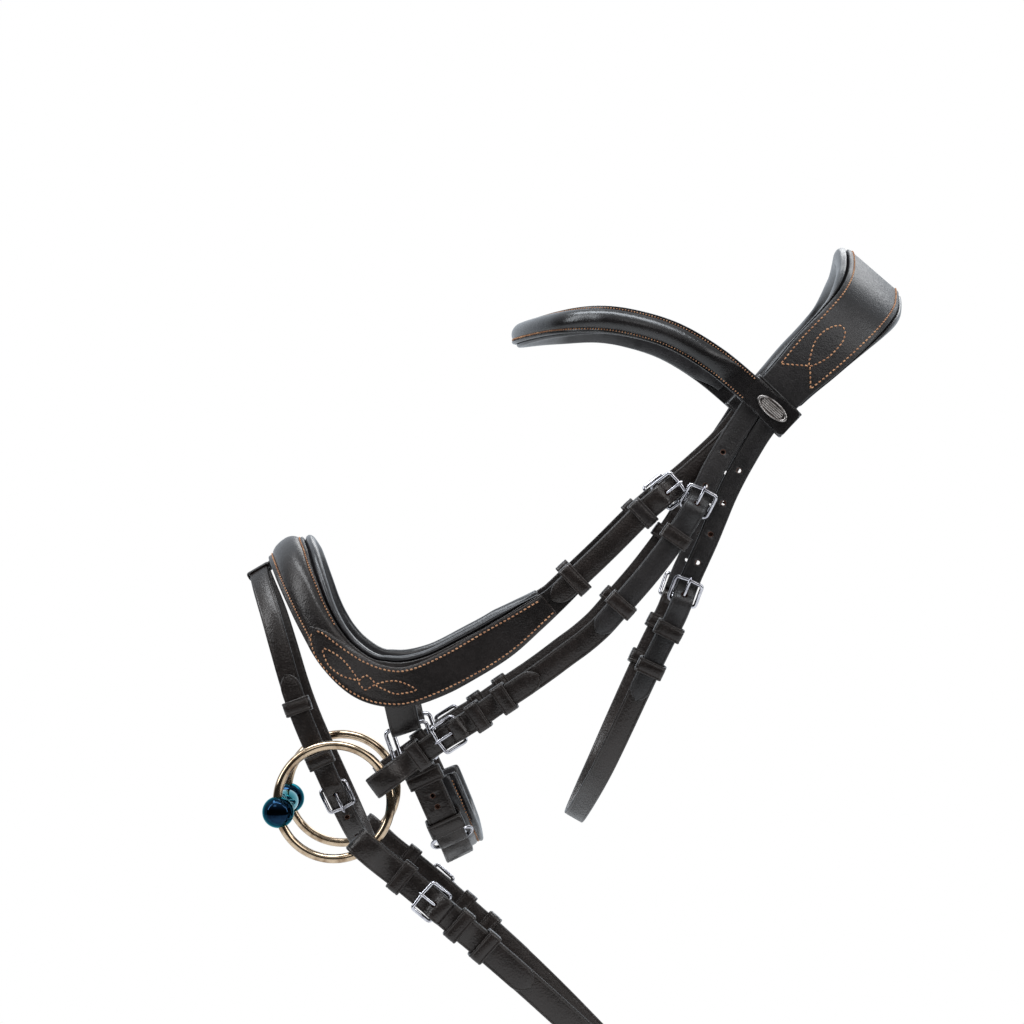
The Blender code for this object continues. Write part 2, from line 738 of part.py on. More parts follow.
FLASH_RUNNER_PIXELS, FLASH_TIP_PIXELS = (304, 704), (295, 673)
REIN_BUCKLE_PIXELS, REIN_KEEPER_PIXELS = (440, 908), (459, 924)
REIN_RUNNER_PIXELS, REIN_TIP_PIXELS, REIN_BIT_KEEPER_PIXELS = (484, 946), (530, 986), (402, 877)
CHEEK_HOLE_PIXELS = ((724, 453), (708, 486))
THROAT_HOLE_PIXELS = ((738, 470), (721, 502), (707, 533), (695, 562))
FLASH_HOLE_PIXELS, CHIN_HOLE_PIXELS = ((348, 816), (357, 833)), ((432, 796), (437, 806))

# Where the pads, rolls, loops and other pieces lie
CROWN_PAD_END_PIXELS, NOSE_PAD_END_PIXELS, CHIN_PAD_START_PIXELS = (783, 390), (545, 606), (428, 786)
ROLL_START_PIXELS, ROLL_END_PIXELS = (352, 662), (312, 600)
BROW_ROLL_START_PIXELS, BROW_ROLL_END_PIXELS = (734, 380), (700, 357)
LOOP_PIXELS, BADGE_PIXELS = (768, 405), (774, 407)
DEE_PIXELS = (405, 728)
CHIN_ROLLER_PIXELS, CHIN_COLLAR_PIXELS, CHIN_KEEPER_PIXELS = (452, 839), (424, 778), (445, 826)
HANGER_SHIFT_SHARE = 0.17

LOOKS, GROUPS, LINES, STATIONS = {}, {}, {}, {}


def make_looks():
    looks = {
        "leather": ((0.020, 0.016, 0.015), 0.45, 0.0),
        "padding": ((0.030, 0.027, 0.028), 0.40, 0.0),
        "strap": ((0.030, 0.022, 0.019), 0.50, 0.0),
        "keeper": ((0.024, 0.019, 0.017), 0.45, 0.0),
        "steel": ((0.72, 0.71, 0.72), 0.16, 1.0),
        "bronze": ((0.62, 0.50, 0.36), 0.22, 1.0),
        "blue_steel": ((0.05, 0.10, 0.14), 0.12, 1.0),
        "pewter": ((0.40, 0.40, 0.41), 0.35, 1.0),
    }
    for name, (colour, roughness, metallic) in looks.items():
        LOOKS[name] = material(name, colour, roughness, metallic)


def nose_line():
    shares = (NOSE_DEPTH_SHARES, NOSE_TURN_SHARES)
    return Line(NOSE_PIXELS, *shares, NOSE_AWAY, NOSE_WIDTH_SHARES, NOSE_UPPER_SHARES)


def flash_line():
    """The flash strap's route. Over the nose it keeps its distance from the noseband's lower edge."""
    nose = LINES["nose"]
    below = nose_reach(nose.length, False) + FLASH_DROP
    front = in_picture(nose.at(nose.length, -FLASH_SINK, -below))
    return Line((front,) + FLASH_PIXELS, FLASH_DEPTH_SHARES, FLASH_TURN_SHARES, FLASH_AWAY)


def make_lines():
    LINES.update(
        crown=Line(CROWN_PIXELS, CROWN_DEPTH_SHARES, CROWN_TURN_SHARES, CROWN_AWAY, CROWN_WIDTH_SHARES),
        cheek=Line(CHEEK_PIXELS, CHEEK_DEPTH_SHARES),
        throat=Line(THROAT_PIXELS, THROAT_DEPTH_SHARES, THROAT_TURN_SHARES, THROAT_AWAY),
        nose=nose_line(),
        rein=Line(REIN_PIXELS, REIN_DEPTH_SHARES),
        tab=Line(TAB_PIXELS, TAB_DEPTH_SHARES),
        chin=Line(CHIN_PIXELS, CHIN_DEPTH_SHARES, CHIN_TURN_SHARES, CHIN_AWAY),
    )
    LINES["flash"] = flash_line()
    LINES["brow"] = brow_line()


def make_stations():
    """The buckles. The sign says which way along its line the outer bar lies."""
    places = {
        "nose": ("nose", NOSE_BUCKLE_PIXELS, -1, HANGER_WIDTH, False),
        "cheek": ("cheek", CHEEK_BUCKLE_PIXELS, -1, CHEEK_WIDTH, False),
        "lower": ("cheek", LOWER_BUCKLE_PIXELS, 1, CHEEK_WIDTH, True),
        "throat": ("throat", THROAT_BUCKLE_PIXELS, -1, THROAT_WIDTH, False),
        "flash": ("flash", FLASH_BUCKLE_PIXELS, 1, FLASH_WIDTH, False),
        "rein": ("rein", REIN_BUCKLE_PIXELS, -1, REIN_WIDTH, True),
    }
    for name, (line, pixels, sign, width, riding) in places.items():
        STATIONS[name] = Station(LINES[line], LINES[line].near(*pixels), sign, width, riding)


def crown_width(s):
    return CROWN_WIDTH * LINES["crown"].share(s)


def hanger_shift(s):
    """Where the noseband hanger runs under the crown piece, as a place across it."""
    return -HANGER_SHIFT_SHARE * crown_width(s)


def crown_rows():
    """The crown piece from its split to the middle of the poll, front edge first."""
    line = LINES["crown"]
    rows = []
    for s, _ in run(0, line.length):
        half = crown_width(s) / 2
        rows.append([line.at(s, 0, -half), line.at(s), line.at(s, 0, half)])
    return rows


def billet(station, start, end_pixels):
    """A billet's way from its root through the buckle to its tip, as (s, n) places."""
    line = station.line
    path = station.billet_path()
    end = line.near(*end_pixels)
    root = run(start, path[0][0])
    last = station.on_chape if not station.riding else LAYER
    tail = run(path[-1][0], end - TIP_SHARE * station.width * -station.sign, last)
    return root[:-1] + path + tail[1:] + [(end, last)]


def billet_rows(line, path, width):
    rows = []
    for k, (s, n) in enumerate(path):
        half = width / 2 * (TIP_SHARE if k == len(path) - 1 else 1)
        rows.append((line.at(s, n, half), line.at(s, n, -half)))
    return rows


def make_crown():
    """The crown piece with its cheek billet and throat billet, and the same on the far side."""
    cheek, throat = STATIONS["cheek"], STATIONS["throat"]
    upper = crown_rows()
    vertices, faces = [], []

    def add(points):
        vertices.extend(points)
        return list(range(len(vertices) - len(points), len(vertices)))

    rows = [add(row) for row in upper]
    for a, b in zip(rows, rows[1:]):
        faces += [(a[0], a[1], b[1], b[0]), (a[1], a[2], b[2], b[1])]
    front, middle, rear = rows[0]
    billets = ((cheek, CHEEK_TIP_PIXELS, (front, middle)), (throat, THROAT_TIP_PIXELS, (middle, rear)))
    for station, tip_pixels, ends in billets:
        path = billet(station, STEP / 2, tip_pixels)
        before = ends
        for points in billet_rows(station.line, path, station.width - GAP):
            after = add(points)
            faces.append((before[1], before[0], after[0], after[1]))
            before = after
    crown = thicken(mirrored(mesh_object("crown_piece", vertices, faces)), LEATHER)
    crown = settle(crown)
    cutters = [cheek.hole("hole"), throat.hole("hole")]
    cutters += holes(LINES["cheek"], CHEEK_HOLE_PIXELS) + holes(LINES["throat"], THROAT_HOLE_PIXELS)
    crown = cut_both(crown, cutters)
    give(crown, "crown_piece", "leather")


def cut_both(obj, cutters):
    """Cuts a piece that spans both sides with near cutters and their mirror images."""
    far = []
    for cutter in cutters:
        mesh = cutter.data.copy()
        mesh.transform(Matrix.Diagonal((1, -1, 1, 1)))
        mesh.flip_normals()
        far.append(new_object("hole", mesh, "cutters"))
    return cut(obj, cutters + far)


def loft(name, sections, closed_ends=(True, True)):
    """A closed skin through sections with the same count of points, each a closed ring."""
    count = len(sections[0])
    vertices = [p for section in sections for p in section]
    faces = [
        (i * count + j, i * count + (j + 1) % count, (i + 1) * count + (j + 1) % count, (i + 1) * count + j)
        for i in range(len(sections) - 1)
        for j in range(count)
    ]
    if closed_ends[0]:
        faces.append(tuple(reversed(range(count))))
    if closed_ends[1]:
        faces.append(tuple(range(len(vertices) - count, len(vertices))))
    made = mesh_object(name, vertices, faces)
    work = bmesh.new()
    work.from_mesh(made.data)
    bmesh.ops.recalc_face_normals(work, faces=work.faces)
    work.to_mesh(made.data)
    work.free()
    return made


def make_crown_pad():
    """The soft lining under the crown piece, with a channel for the noseband hanger."""
    line = LINES["crown"]
    start = line.near(*CROWN_PAD_END_PIXELS)
    top, channel = -(LEATHER / 2 + ROOM), -(LAYER + LEATHER / 2 + 2 * ROOM)
    bottom = top - CROWN_PAD
    sections = []
    for k, (s, _) in enumerate(run(start, line.length)):
        half = crown_width(s) / 2 + CROWN_PAD_OVERHANG
        room, shift = HANGER_WIDTH / 2 + 2 * GAP, hanger_shift(s)
        thin = 0.55 if k == 0 else 1.0
        low = top + (bottom - top) * thin
        roll = (top + low) / 2
        section = [(-half, roll), (-half * 0.96, top), (shift - room - GAP, top), (shift - room, channel)]
        section += [(shift + room, channel), (shift + room + GAP, top), (half * 0.96, top), (half, roll)]
        section += [(half * 0.95, low * 0.9), (half * 0.6, low)]
        section += [(-half * 0.6, low), (-half * 0.95, low * 0.9)]
        sections.append([line.at(s, n, w) for w, n in section])
    pad = mirrored(loft("crown_pad", sections, (True, False)))
    give(pad, "crown_pad", "padding")


def make_hanger():
    """The noseband hanger: over the poll in the crown pad's channel, down behind the cheek billets."""
    station, line, crown = STATIONS["nose"], LINES["nose"], LINES["crown"]
    path = billet(station, 0, NOSE_TIP_PIXELS)
    rows = [list(row) for row in reversed(billet_rows(line, path, HANGER_WIDTH - GAP))]
    half = (HANGER_WIDTH - GAP) / 2
    for s, _ in run(0, crown.length)[1:]:
        shift, low = hanger_shift(s), -(LAYER + ROOM)
        rows.append([crown.at(s, low, shift - half), crown.at(s, low, shift + half)])
    hanger = settle(thicken(mirrored(strip("noseband_hanger", rows)), LEATHER))
    hanger = cut_both(hanger, [station.hole("hole")])
    give(hanger, "noseband_hanger", "strap")


def keeper_heights(station):
    """The clear inside of a fixed keeper at a buckle: its low side is sewn into the strap's back."""
    back = LEATHER / 2 if station.riding else LAYER + LEATHER / 2
    return -back + SEWN, station.on_chape + LEATHER / 2 + KEEPER_ROOM


def make_cheekpieces():
    line, upper, lower = LINES["cheek"], STATIONS["cheek"], STATIONS["lower"]
    main = list(reversed(upper.eye_path()))
    loop = bit_loop(line, line.length, 1)
    back = billet_back(lower, loop[-1][0], LOWER_TIP_PIXELS)
    path = main + run(main[-1][0], loop[0][0])[1:-1] + loop + back
    strap = ribbon("cheekpiece", line, path, CHEEK_WIDTH, point=TIP_SHARE)
    low, high = keeper_heights(upper)
    extra = [band("keeper", line, line.near(*CHEEK_KEEPER_PIXELS), low, high, CHEEK_WIDTH)]
    low, high = keeper_heights(lower)
    extra.append(band("keeper", line, line.near(*LOWER_KEEPER_PIXELS), low, high, CHEEK_WIDTH))
    high = LAYER + LEATHER / 2 + KEEPER_ROOM
    extra.append(band("keeper", line, line.near(*BIT_KEEPER_PIXELS), low, high, CHEEK_WIDTH))
    extra.append(band("keeper", line, line.near(*LOWER_END_KEEPER_PIXELS), low, high, CHEEK_WIDTH))
    extra.append(ribbon("chape", line, lower.arch_path(), CHEEK_WIDTH, CHAPE))
    strap = join(strap, extra)
    strap = cut(strap, upper.slots("slot") + lower.slots("slot") + [lower.hole("hole")])
    pair(strap, "cheekpiece", "strap")
    upper.hardware("cheek_buckle")
    lower.hardware("bit_buckle")
    runner("cheek_runner", line, line.near(*CHEEK_RUNNER_PIXELS), CHEEK_WIDTH)


def bit_loop(line, s0, sign):
    """The bend of a strap round the bit ring's wire, from behind it to in front of it."""
    lift = RING_WIRE + ROOM + LEATHER / 2
    turn = [
        (LOOP_SLACK + lift * math.cos(math.radians(a)), lift + lift * math.sin(math.radians(a)))
        for a in (-90, -54, -18, 18, 54, 90)
    ]
    front = [(0.0, 2 * lift), (-1.2 * lift, 1.8 * lift), (-2.6 * lift, 1.0 * lift), (-3.6 * lift, LAYER)]
    return [(s0 + sign * u, n) for u, n in turn + front]


def billet_back(station, start, end_pixels):
    """The rest of a billet that comes back from the bit ring through a riding buckle."""
    path = station.billet_path()
    end = station.line.near(*end_pixels)
    level = [((start + path[0][0]) / 2, LAYER)]
    tail = run(path[-1][0], end + station.sign * TIP_SHARE * station.width, LAYER, STEP * 0.8)
    return level + path + tail[1:] + [(end, LAYER)]


def make_throat_strap():
    line, station = LINES["throat"], STATIONS["throat"]
    main = list(reversed(station.eye_path()))
    path = main + run(main[-1][0], line.length)[1:]
    rows = [[line.at(s, n, -THROAT_WIDTH / 2), line.at(s, n, THROAT_WIDTH / 2)] for s, n in path]
    strap = settle(thicken(mirrored(strip("throat_strap", rows)), LEATHER))
    low, high = keeper_heights(station)
    near = settle(band("keeper", line, line.near(*THROAT_KEEPER_PIXELS), low, high, THROAT_WIDTH))
    strap = join(strap, [near, far_copy(near)])
    strap = cut_both(strap, station.slots("slot"))
    give(strap, "throat_strap", "strap")
    station.hardware("throat_buckle")
    runner("throat_runner", line, line.near(*THROAT_RUNNER_PIXELS), THROAT_WIDTH)


def far_copy(obj):
    mesh = obj.data.copy()
    mesh.transform(Matrix.Diagonal((1, -1, 1, 1)))
    mesh.flip_normals()
    return new_object(obj.name, mesh)


def nose_width(s):
    return max(NOSEBAND_WIDTH * LINES["nose"].share(s), HANGER_WIDTH)


def nose_reach(s, upper=True):
    """How far the noseband's leather reaches above or below its line."""
    return nose_width(s) / 2 * (LINES["nose"].upper(s) if upper else 1.0)


def roll_height(s):
    """How far the padded roll over the nose lifts the leather's middle."""
    line = LINES["nose"]
    first, last = line.near(*ROLL_START_PIXELS), line.near(*ROLL_END_PIXELS)
    rise = min(max((s - first) / (last - first), 0.0), 1.0)
    return NOSE_ROLL * rise * rise * (3 - 2 * rise)


def make_noseband():
    """The noseband's leather: a shaped band with a padded roll over the nose and tabs for the dees."""
    line, station = LINES["nose"], STATIONS["nose"]
    main = list(reversed(station.eye_path()))
    path = main + run(main[-1][0], line.length)[1:]
    rows = []
    for s, n in path:
        roll = roll_height(s)
        places = zip(ROLL_WIDTH_SHARES, ROLL_RISE_SHARES)
        rows.append([line.at(s, n + roll * up, nose_reach(s, w > 0) * w) for w, up in places])
    leather = settle(thicken(mirrored(strip("noseband", rows)), LEATHER))
    low, high = keeper_heights(station)
    near = settle(band("keeper", line, line.near(*NOSE_KEEPER_PIXELS), low, high, HANGER_WIDTH))
    tab = settle(make_tab())
    leather = join(leather, [near, far_copy(near), tab, far_copy(tab), flash_loop()])
    leather = cut_both(leather, station.slots("slot"))
    give(leather, "noseband", "leather")
    station.hardware("noseband_buckle")
    place = line.near(*NOSE_RUNNER_PIXELS)
    runner("noseband_runner", line, place, nose_width(place + KEEPER_LENGTH))


def make_tab():
    """The strap under the noseband that folds round the dee's top bar."""
    line = LINES["tab"]
    place = line.near(*DEE_PIXELS)
    loop = DEE_WIRE + ROOM + LEATHER / 2
    turn = [
        (place + loop * math.cos(math.radians(a)), -loop + loop * math.sin(math.radians(a)))
        for a in (90, 54, 18, -18, -54, -90)
    ]
    path = run(0, place)[:-1] + turn + [(place - 1.5 * loop, -2 * loop), (place - 3 * loop, -2 * loop)]
    return ribbon("tab", line, path, TAB_WIDTH)


def make_dees():
    """The rounded wire dee that hangs in each tab and carries the chin strap."""
    tab, chin = LINES["tab"], LINES["chin"]
    drop = -(DEE_WIRE + ROOM + LEATHER / 2)
    top = tab.near(*DEE_PIXELS)
    upper, lower = tab.at(top, drop), chin.at(0, drop)
    across, across_low = tab.frame(top)[3], chin.frame(0)[3]
    half, corner = DEE_LENGTH / 2, DEE_CORNER_SHARE
    cut_in = corner * (lower - upper).length
    ends = [(0, half - cut_in), (corner * 0.3, half - cut_in * 0.3), (corner, half)]
    outline = ends + [(1 - u, w) for u, w in reversed(ends)]
    outline += [(u, -w) for u, w in reversed(outline)]
    places = [upper.lerp(lower, u) + across.lerp(across_low, u) * w for u, w in outline]
    pair(tube("dee", places, DEE_WIRE, cyclic=True), "noseband_dee", "steel", upper)
    note("noseband_dee", upper, across)


def loop_heights():
    """The clear inside of the browband's loop, round the crown piece and the hanger under it."""
    return -(LAYER + LEATHER / 2 + 2 * ROOM), LEATHER / 2 + ROOM


def brow_line():
    """The browband's route. Its ends lie on the outer faces of the loops."""
    crown = LINES["crown"]
    place = crown.near(*LOOP_PIXELS)
    height = loop_heights()[1] + KEEPER_LEATHER + LEATHER / 2 - SEWN
    start = -crown.at(place, height).y / HEAD_HALF_WIDTH
    shares = (start, start) + BROWBAND_DEPTH_SHARES[2:]
    return Line(BROWBAND_PIXELS, shares, BROWBAND_TURN_SHARES, BROWBAND_AWAY)


def brow_rise(s):
    line = LINES["brow"]
    first, last = line.near(*BROW_ROLL_START_PIXELS), line.near(*BROW_ROLL_END_PIXELS)
    rise = min(max((s - first) / (last - first), 0.0), 1.0)
    return BROW_ROLL * rise * rise * (3 - 2 * rise)


def make_browband():
    line, crown = LINES["brow"], LINES["crown"]
    half = BROWBAND_WIDTH / 2
    rows = []
    for s, _ in run(0, line.length):
        roll = brow_rise(s)
        widths = zip(ROLL_WIDTH_SHARES, ROLL_RISE_SHARES)
        rows.append([line.at(s, roll * up, half * w) for w, up in widths])
    leather = settle(thicken(mirrored(strip("browband", rows)), LEATHER))
    place = crown.near(*LOOP_PIXELS)
    low, high = loop_heights()
    width = crown_width(place) + 2 * LOOP_SPARE
    loop = settle(band("loop", crown, place, low, high, width, LOOP_LENGTH, KEEPER_LEATHER, LOOP_SHIFT))
    leather = join(leather, [loop, far_copy(loop)])
    give(leather, "browband", "leather")


def make_browband_pad():
    """The soft lining behind the browband."""
    line = LINES["brow"]
    start = line.near(*BROW_ROLL_START_PIXELS)
    top = -(LEATHER / 2 + ROOM)
    low, half = top - BROW_PAD, BROWBAND_WIDTH / 2
    sections = []
    for s, _ in run(start, line.length):
        arch, foot = top + brow_rise(s) * ARCH_RISE_SHARE, half * ARCH_FOOT_SHARE
        crest = half * ARCH_CREST_SHARE
        section = [(-half, (top + low) / 2), (-half * 0.92, top), (-foot, top), (-crest, arch), (crest, arch)]
        section += [(foot, top), (half * 0.92, top), (half, (top + low) / 2)]
        section += [(half * 0.85, low), (-half * 0.85, low)]
        sections.append([line.at(s, n, w) for w, n in section])
    give(mirrored(loft("browband_pad", sections, (True, False))), "browband_pad", "padding")


def make_badges():
    """An oval plate on each browband loop, left bare."""
    line = LINES["brow"]
    place, along, out, across = line.frame(line.near(*BADGE_PIXELS))
    centre = place + out * (LEATHER / 2 + GAP + BADGE_THICKNESS / 2)
    work = bmesh.new()
    bmesh.ops.create_cone(work, cap_ends=True, segments=20, radius1=1, radius2=0.86, depth=1)
    bmesh.ops.scale(work, vec=(BADGE_LENGTH / 2, BADGE_WIDTH / 2, BADGE_THICKNESS), verts=work.verts)
    bmesh.ops.transform(work, matrix=frame_matrix(centre, along, out), verts=work.verts)
    pair(finished("badge", work, "part"), "badge", "pewter", centre)


def make_noseband_pad():
    """The soft lining of the noseband. Its upper edge stands out past the leather as a rim."""
    line = LINES["nose"]
    start = line.near(*NOSE_PAD_END_PIXELS)
    top, rim = -(LEATHER / 2 + ROOM), NOSE_PAD_RIM
    low = top - NOSE_PAD
    sections = []
    for k, (s, _) in enumerate(run(start, line.length)):
        half, roll = nose_reach(s), roll_height(s)
        size = rim * (0.2 if k == 0 else 0.7 if k == 1 else 1.0)
        foot, arch = -nose_reach(s, False) * NOSE_PAD_FOOT_SHARE, top + roll * ARCH_RISE_SHARE
        section = [(foot, arch), (half * ARCH_CREST_SHARE, arch)]
        section += [(half * ARCH_FOOT_SHARE, top), (half + GAP, top)]
        section += [(half + 0.3 * size + GAP, 0), (half + 0.75 * size, 0.1 * top), (half + size, 0.4 * low)]
        section += [(half + 0.75 * size, 0.85 * low), (half * 0.8, low), (foot, low)]
        sections.append([line.at(s, n, w) for w, n in section])
    give(mirrored(loft("noseband_pad", sections, (True, False))), "noseband_pad", "padding")


def flash_loop():
    """The loop on the front of the noseband that holds the flash strap, and the tail that is sewn on."""
    flash, nose = LINES["flash"], LINES["nose"]
    low, high = -LEATHER / 2 - KEEPER_ROOM, LEATHER / 2 + KEEPER_ROOM
    places = (0.0, FLASH_LOOP_LENGTH / 4, FLASH_LOOP_LENGTH / 2)
    loop = sleeve("loop", flash, places, low, high, FLASH_WIDTH, KEEPER_LEATHER)
    loop = thicken(mirrored(loop), KEEPER_LEATHER)
    start = flash.at(0, low - KEEPER_LEATHER / 2, -FLASH_WIDTH / 4)
    under = -(LEATHER + KEEPER_LEATHER) / 2 + SEWN
    edge = nose.at(nose.length, under, -NOSEBAND_WIDTH / 2)
    end = nose.at(nose.length, under, -NOSEBAND_WIDTH / 2 * (NOSE_PAD_FOOT_SHARE + 0.2))
    side = Vector((0, FLASH_LOOP_LENGTH * 0.4, 0))
    rows = [[p - side, p + side] for p in (start, edge, end)]
    tail = thicken(strip("tail", rows), KEEPER_LEATHER)
    return join(loop, [tail])


def make_flash_strap():
    """One strap: down the near side to its buckle, and the other way round the nose to its billet."""
    line, station = LINES["flash"], STATIONS["flash"]
    half = FLASH_WIDTH / 2
    first = list(reversed(station.eye_path()))
    front = STEP * 2
    first += run(first[-1][0], front)[1:] + run(front, 0, step=STEP / 2)[1:]
    far = run(0, front, step=STEP / 2)[1:] + run(front, line.length)[1:]
    tip_place = line.near(*FLASH_TIP_PIXELS)
    path = station.billet_path()
    last = run(line.length, path[0][0])[1:-1] + path
    last += run(path[-1][0], tip_place + TIP_SHARE * FLASH_WIDTH, LAYER)[1:]
    rows = [[line.at(s, n, half), line.at(s, n, -half)] for s, n in first]
    rows += [[line.at(s, n, half) * FLIP, line.at(s, n, -half) * FLIP] for s, n in far]
    rows += [[line.at(s, n, half), line.at(s, n, -half)] for s, n in last]
    rows.append([line.at(tip_place, LAYER, half * TIP_SHARE), line.at(tip_place, LAYER, -half * TIP_SHARE)])
    strap = thicken(strip("flash_strap", rows), LEATHER)
    low, high = keeper_heights(station)
    strap = join(strap, [band("keeper", line, line.near(*FLASH_KEEPER_PIXELS), low, high, FLASH_WIDTH)])
    strap = cut(strap, station.slots("slot") + [station.hole("hole")] + holes(line, FLASH_HOLE_PIXELS))
    give(strap, "flash_strap", "strap")
    station.hardware("flash_buckle", both=False)
    runner("flash_runner", line, line.near(*FLASH_RUNNER_PIXELS), FLASH_WIDTH, both=False)


def make_reins():
    """A rein on each bit ring, and the buckle that joins the two on the middle plane."""
    line, station = LINES["rein"], STATIONS["rein"]
    loop = bit_loop(line, 0.0, -1)
    back = billet_back(station, loop[-1][0], REIN_TIP_PIXELS)
    fold = rein_fold()
    path = fold + run(fold[-1][0], loop[0][0], step=STEP)[1:-1] + loop + back
    rein = ribbon("rein", line, path, REIN_WIDTH, point=TIP_SHARE)
    low, high = keeper_heights(station)
    extra = [band("keeper", line, line.near(*REIN_KEEPER_PIXELS), low, high, REIN_WIDTH)]
    high = LAYER + LEATHER / 2 + KEEPER_ROOM
    extra.append(band("keeper", line, line.near(*REIN_BIT_KEEPER_PIXELS), low, high, REIN_WIDTH))
    extra.append(ribbon("chape", line, station.arch_path(), REIN_WIDTH, CHAPE))
    rein = cut(join(rein, extra), station.slots("slot") + [station.hole("hole")])
    pair(rein, "rein", "strap", ring_centre())
    station.hardware("rein_buckle")
    runner("rein_runner", line, line.near(*REIN_RUNNER_PIXELS), REIN_WIDTH)
    bar, half = rein_fold_bar(), REIN_WIDTH / 2 + ROOM + BAR
    near = [line.at(bar[0], bar[1], w) for w in (-half, half)]
    inward = (near[0] * FLIP - near[0]).normalized() * BAR
    outline = [near[0] + inward, near[0] + (near[1] - near[0]).normalized() * BAR]
    outline += [near[1] - (near[1] - near[0]).normalized() * BAR, near[1] + inward]
    outline += [p * FLIP for p in reversed(outline)]
    give(tube("rein_join", outline, BAR, cyclic=True), "rein_join", "steel")


def rein_fold_bar():
    return LINES["rein"].length, -LAYER / 2


def rein_fold():
    """The fold at a rein's end, round the bar of the buckle that joins the two reins."""
    place, bar = rein_fold_bar()
    loop = BAR + GAP + LEATHER / 2
    lead = [(-2.2 * loop, 0.0), (-1.5 * loop, 0.08 * loop), (-0.8 * loop, 0.32 * loop)]
    turn = [
        (loop * math.cos(math.radians(a)), bar + loop * math.sin(math.radians(a)))
        for a in (90, 45, 0, -45, -90)
    ]
    back = [(u, 2 * bar - n) for u, n in reversed(lead)] + [(-FOLD, -LAYER)]
    return [(place + u, n) for u, n in reversed(lead + turn + back)]


def ring_centre():
    return seen(RING_COLUMN, RING_ROW, -RING_DEPTH)


def ball_place():
    """The ball's centre and the way of the ring's wire through it."""
    centre = ring_centre()
    out = seen(BALL_COLUMN, BALL_ROW, -RING_DEPTH) - centre
    out.normalize()
    return centre + out * RING_RADIUS, Vector((-out.z, 0, out.x))


def make_bit():
    """Loose rings, arms with ball ends, and the link that joins the arms."""
    centre = ring_centre()
    ring = torus("ring", centre, Vector((0, 1, 0)), RING_RADIUS, RING_WIRE)
    pair(ring, "bit_ring", "bronze", centre)
    note("bit_ring", centre, Vector((0, 1, 0)))
    ball_centre, axis = ball_place()
    reach = 2 * EYE_RADIUS - 2 * EYE_WIRE - LINK_SLACK
    eye_place = -(LINK_HALF + reach)
    profile = arm_profile(eye_place)
    curve = bpy.data.meshes.new("arm")
    curve.from_pydata([(r, 0, y) for r, y in profile], [(k, k + 1) for k in range(len(profile) - 1)], [])
    arm = new_object("arm", curve)
    screw = arm.modifiers.new("Screw", "SCREW")
    screw.steps = screw.render_steps = ARM_SIDES
    screw.use_merge_vertices = True
    screw.merge_threshold = WELD
    turned = Matrix.Rotation(-math.pi / 2, 4, "X")
    arm.matrix_world = Matrix.Translation(Vector((ball_centre.x, 0, ball_centre.z))) @ turned
    arm = settle(arm)
    hub = Vector((ball_centre.x, eye_place, ball_centre.z))
    arm = join(arm, [torus("eye", hub, axis, EYE_RADIUS, EYE_WIRE, 12, 6)])
    bore = torus("bore", centre, Vector((0, 1, 0)), RING_RADIUS, RING_WIRE + BORE_GAP, place="cutters")
    arm = cut(arm, [bore])
    pair(arm, "bit_arm", "blue_steel", ball_centre)
    note("bit_arm", ball_centre, axis)
    side = axis.cross(Vector((0, 1, 0)))
    middle = Vector((ball_centre.x, 0, ball_centre.z))
    work = bmesh.new()
    bmesh.ops.create_uvsphere(work, u_segments=10, v_segments=6, radius=1)
    bmesh.ops.scale(work, vec=(LINK_WIDTH / 2, LINK_HALF * 0.62, LINK_HEIGHT / 2), verts=work.verts)
    bmesh.ops.transform(work, matrix=frame_matrix(middle, side, axis), verts=work.verts)
    link = finished("link", work, "part")
    offset = Vector((0, LINK_HALF, 0))
    eyes = [torus("eye", middle + offset * k, side, EYE_RADIUS, EYE_WIRE, 12, 6) for k in (-1, 1)]
    give(join(link, eyes), "bit_link", "blue_steel", hub)
    note("bit_link", hub, axis)


def arm_profile(eye_place):
    """The ball end and the arm as (radius, place along the mouthpiece), outer end first."""
    start, end = -RING_DEPTH, eye_place - EYE_RADIUS
    cap = [(0.0, start - BALL_RADIUS * 1.12), (BALL_CAP * 0.7, start - BALL_RADIUS * 1.04)]
    cap += [(BALL_CAP, start - BALL_RADIUS * 0.8)]
    sphere = [
        (BALL_RADIUS * math.cos(math.radians(a)), start + BALL_RADIUS * math.sin(math.radians(a)))
        for a in (-38, -15, 15, 38)
    ]
    neck = [(ARM_NECK, start + BALL_RADIUS * 0.92), (ARM_NECK, start + BALL_RADIUS * 1.25)]
    length = end - neck[-1][1]
    swell = [(ARM_RADIUS * 0.92, neck[-1][1] + length * 0.2), (ARM_RADIUS, neck[-1][1] + length * 0.45)]
    swell += [(ARM_RADIUS * 0.72, neck[-1][1] + length * 0.85)]
    swell += [(ARM_NECK * 0.8, end), (0.0, end + EYE_WIRE * 0.5)]
    return cap + sphere + neck + swell


def chin_heights():
    """Heights of the roller's axis and of the strap that comes back behind it."""
    turn = ROLLER_RADIUS + ROOM + LEATHER / 2
    return -turn, -2 * turn


def chin_pad_top():
    """The height of the chin pad's outer face."""
    return chin_heights()[1] - LEATHER / 2 - KEEPER_ROOM - KEEPER_LEATHER - ROOM


def dee_turn():
    """The bend of a chin strap over a dee's lower bar."""
    loop = DEE_WIRE + ROOM + LEATHER / 2
    turn = [
        (-loop * math.sin(math.radians(a)), -loop + loop * math.cos(math.radians(a)))
        for a in (180, 144, 108, 72, 36, 0)
    ]
    return [(CHIN_TAIL, -2 * loop), (loop, -2 * loop)] + turn


def chin_row(line, s, n, half=CHIN_WIDTH / 2):
    return [line.at(s, n, -half), line.at(s, n, half)]


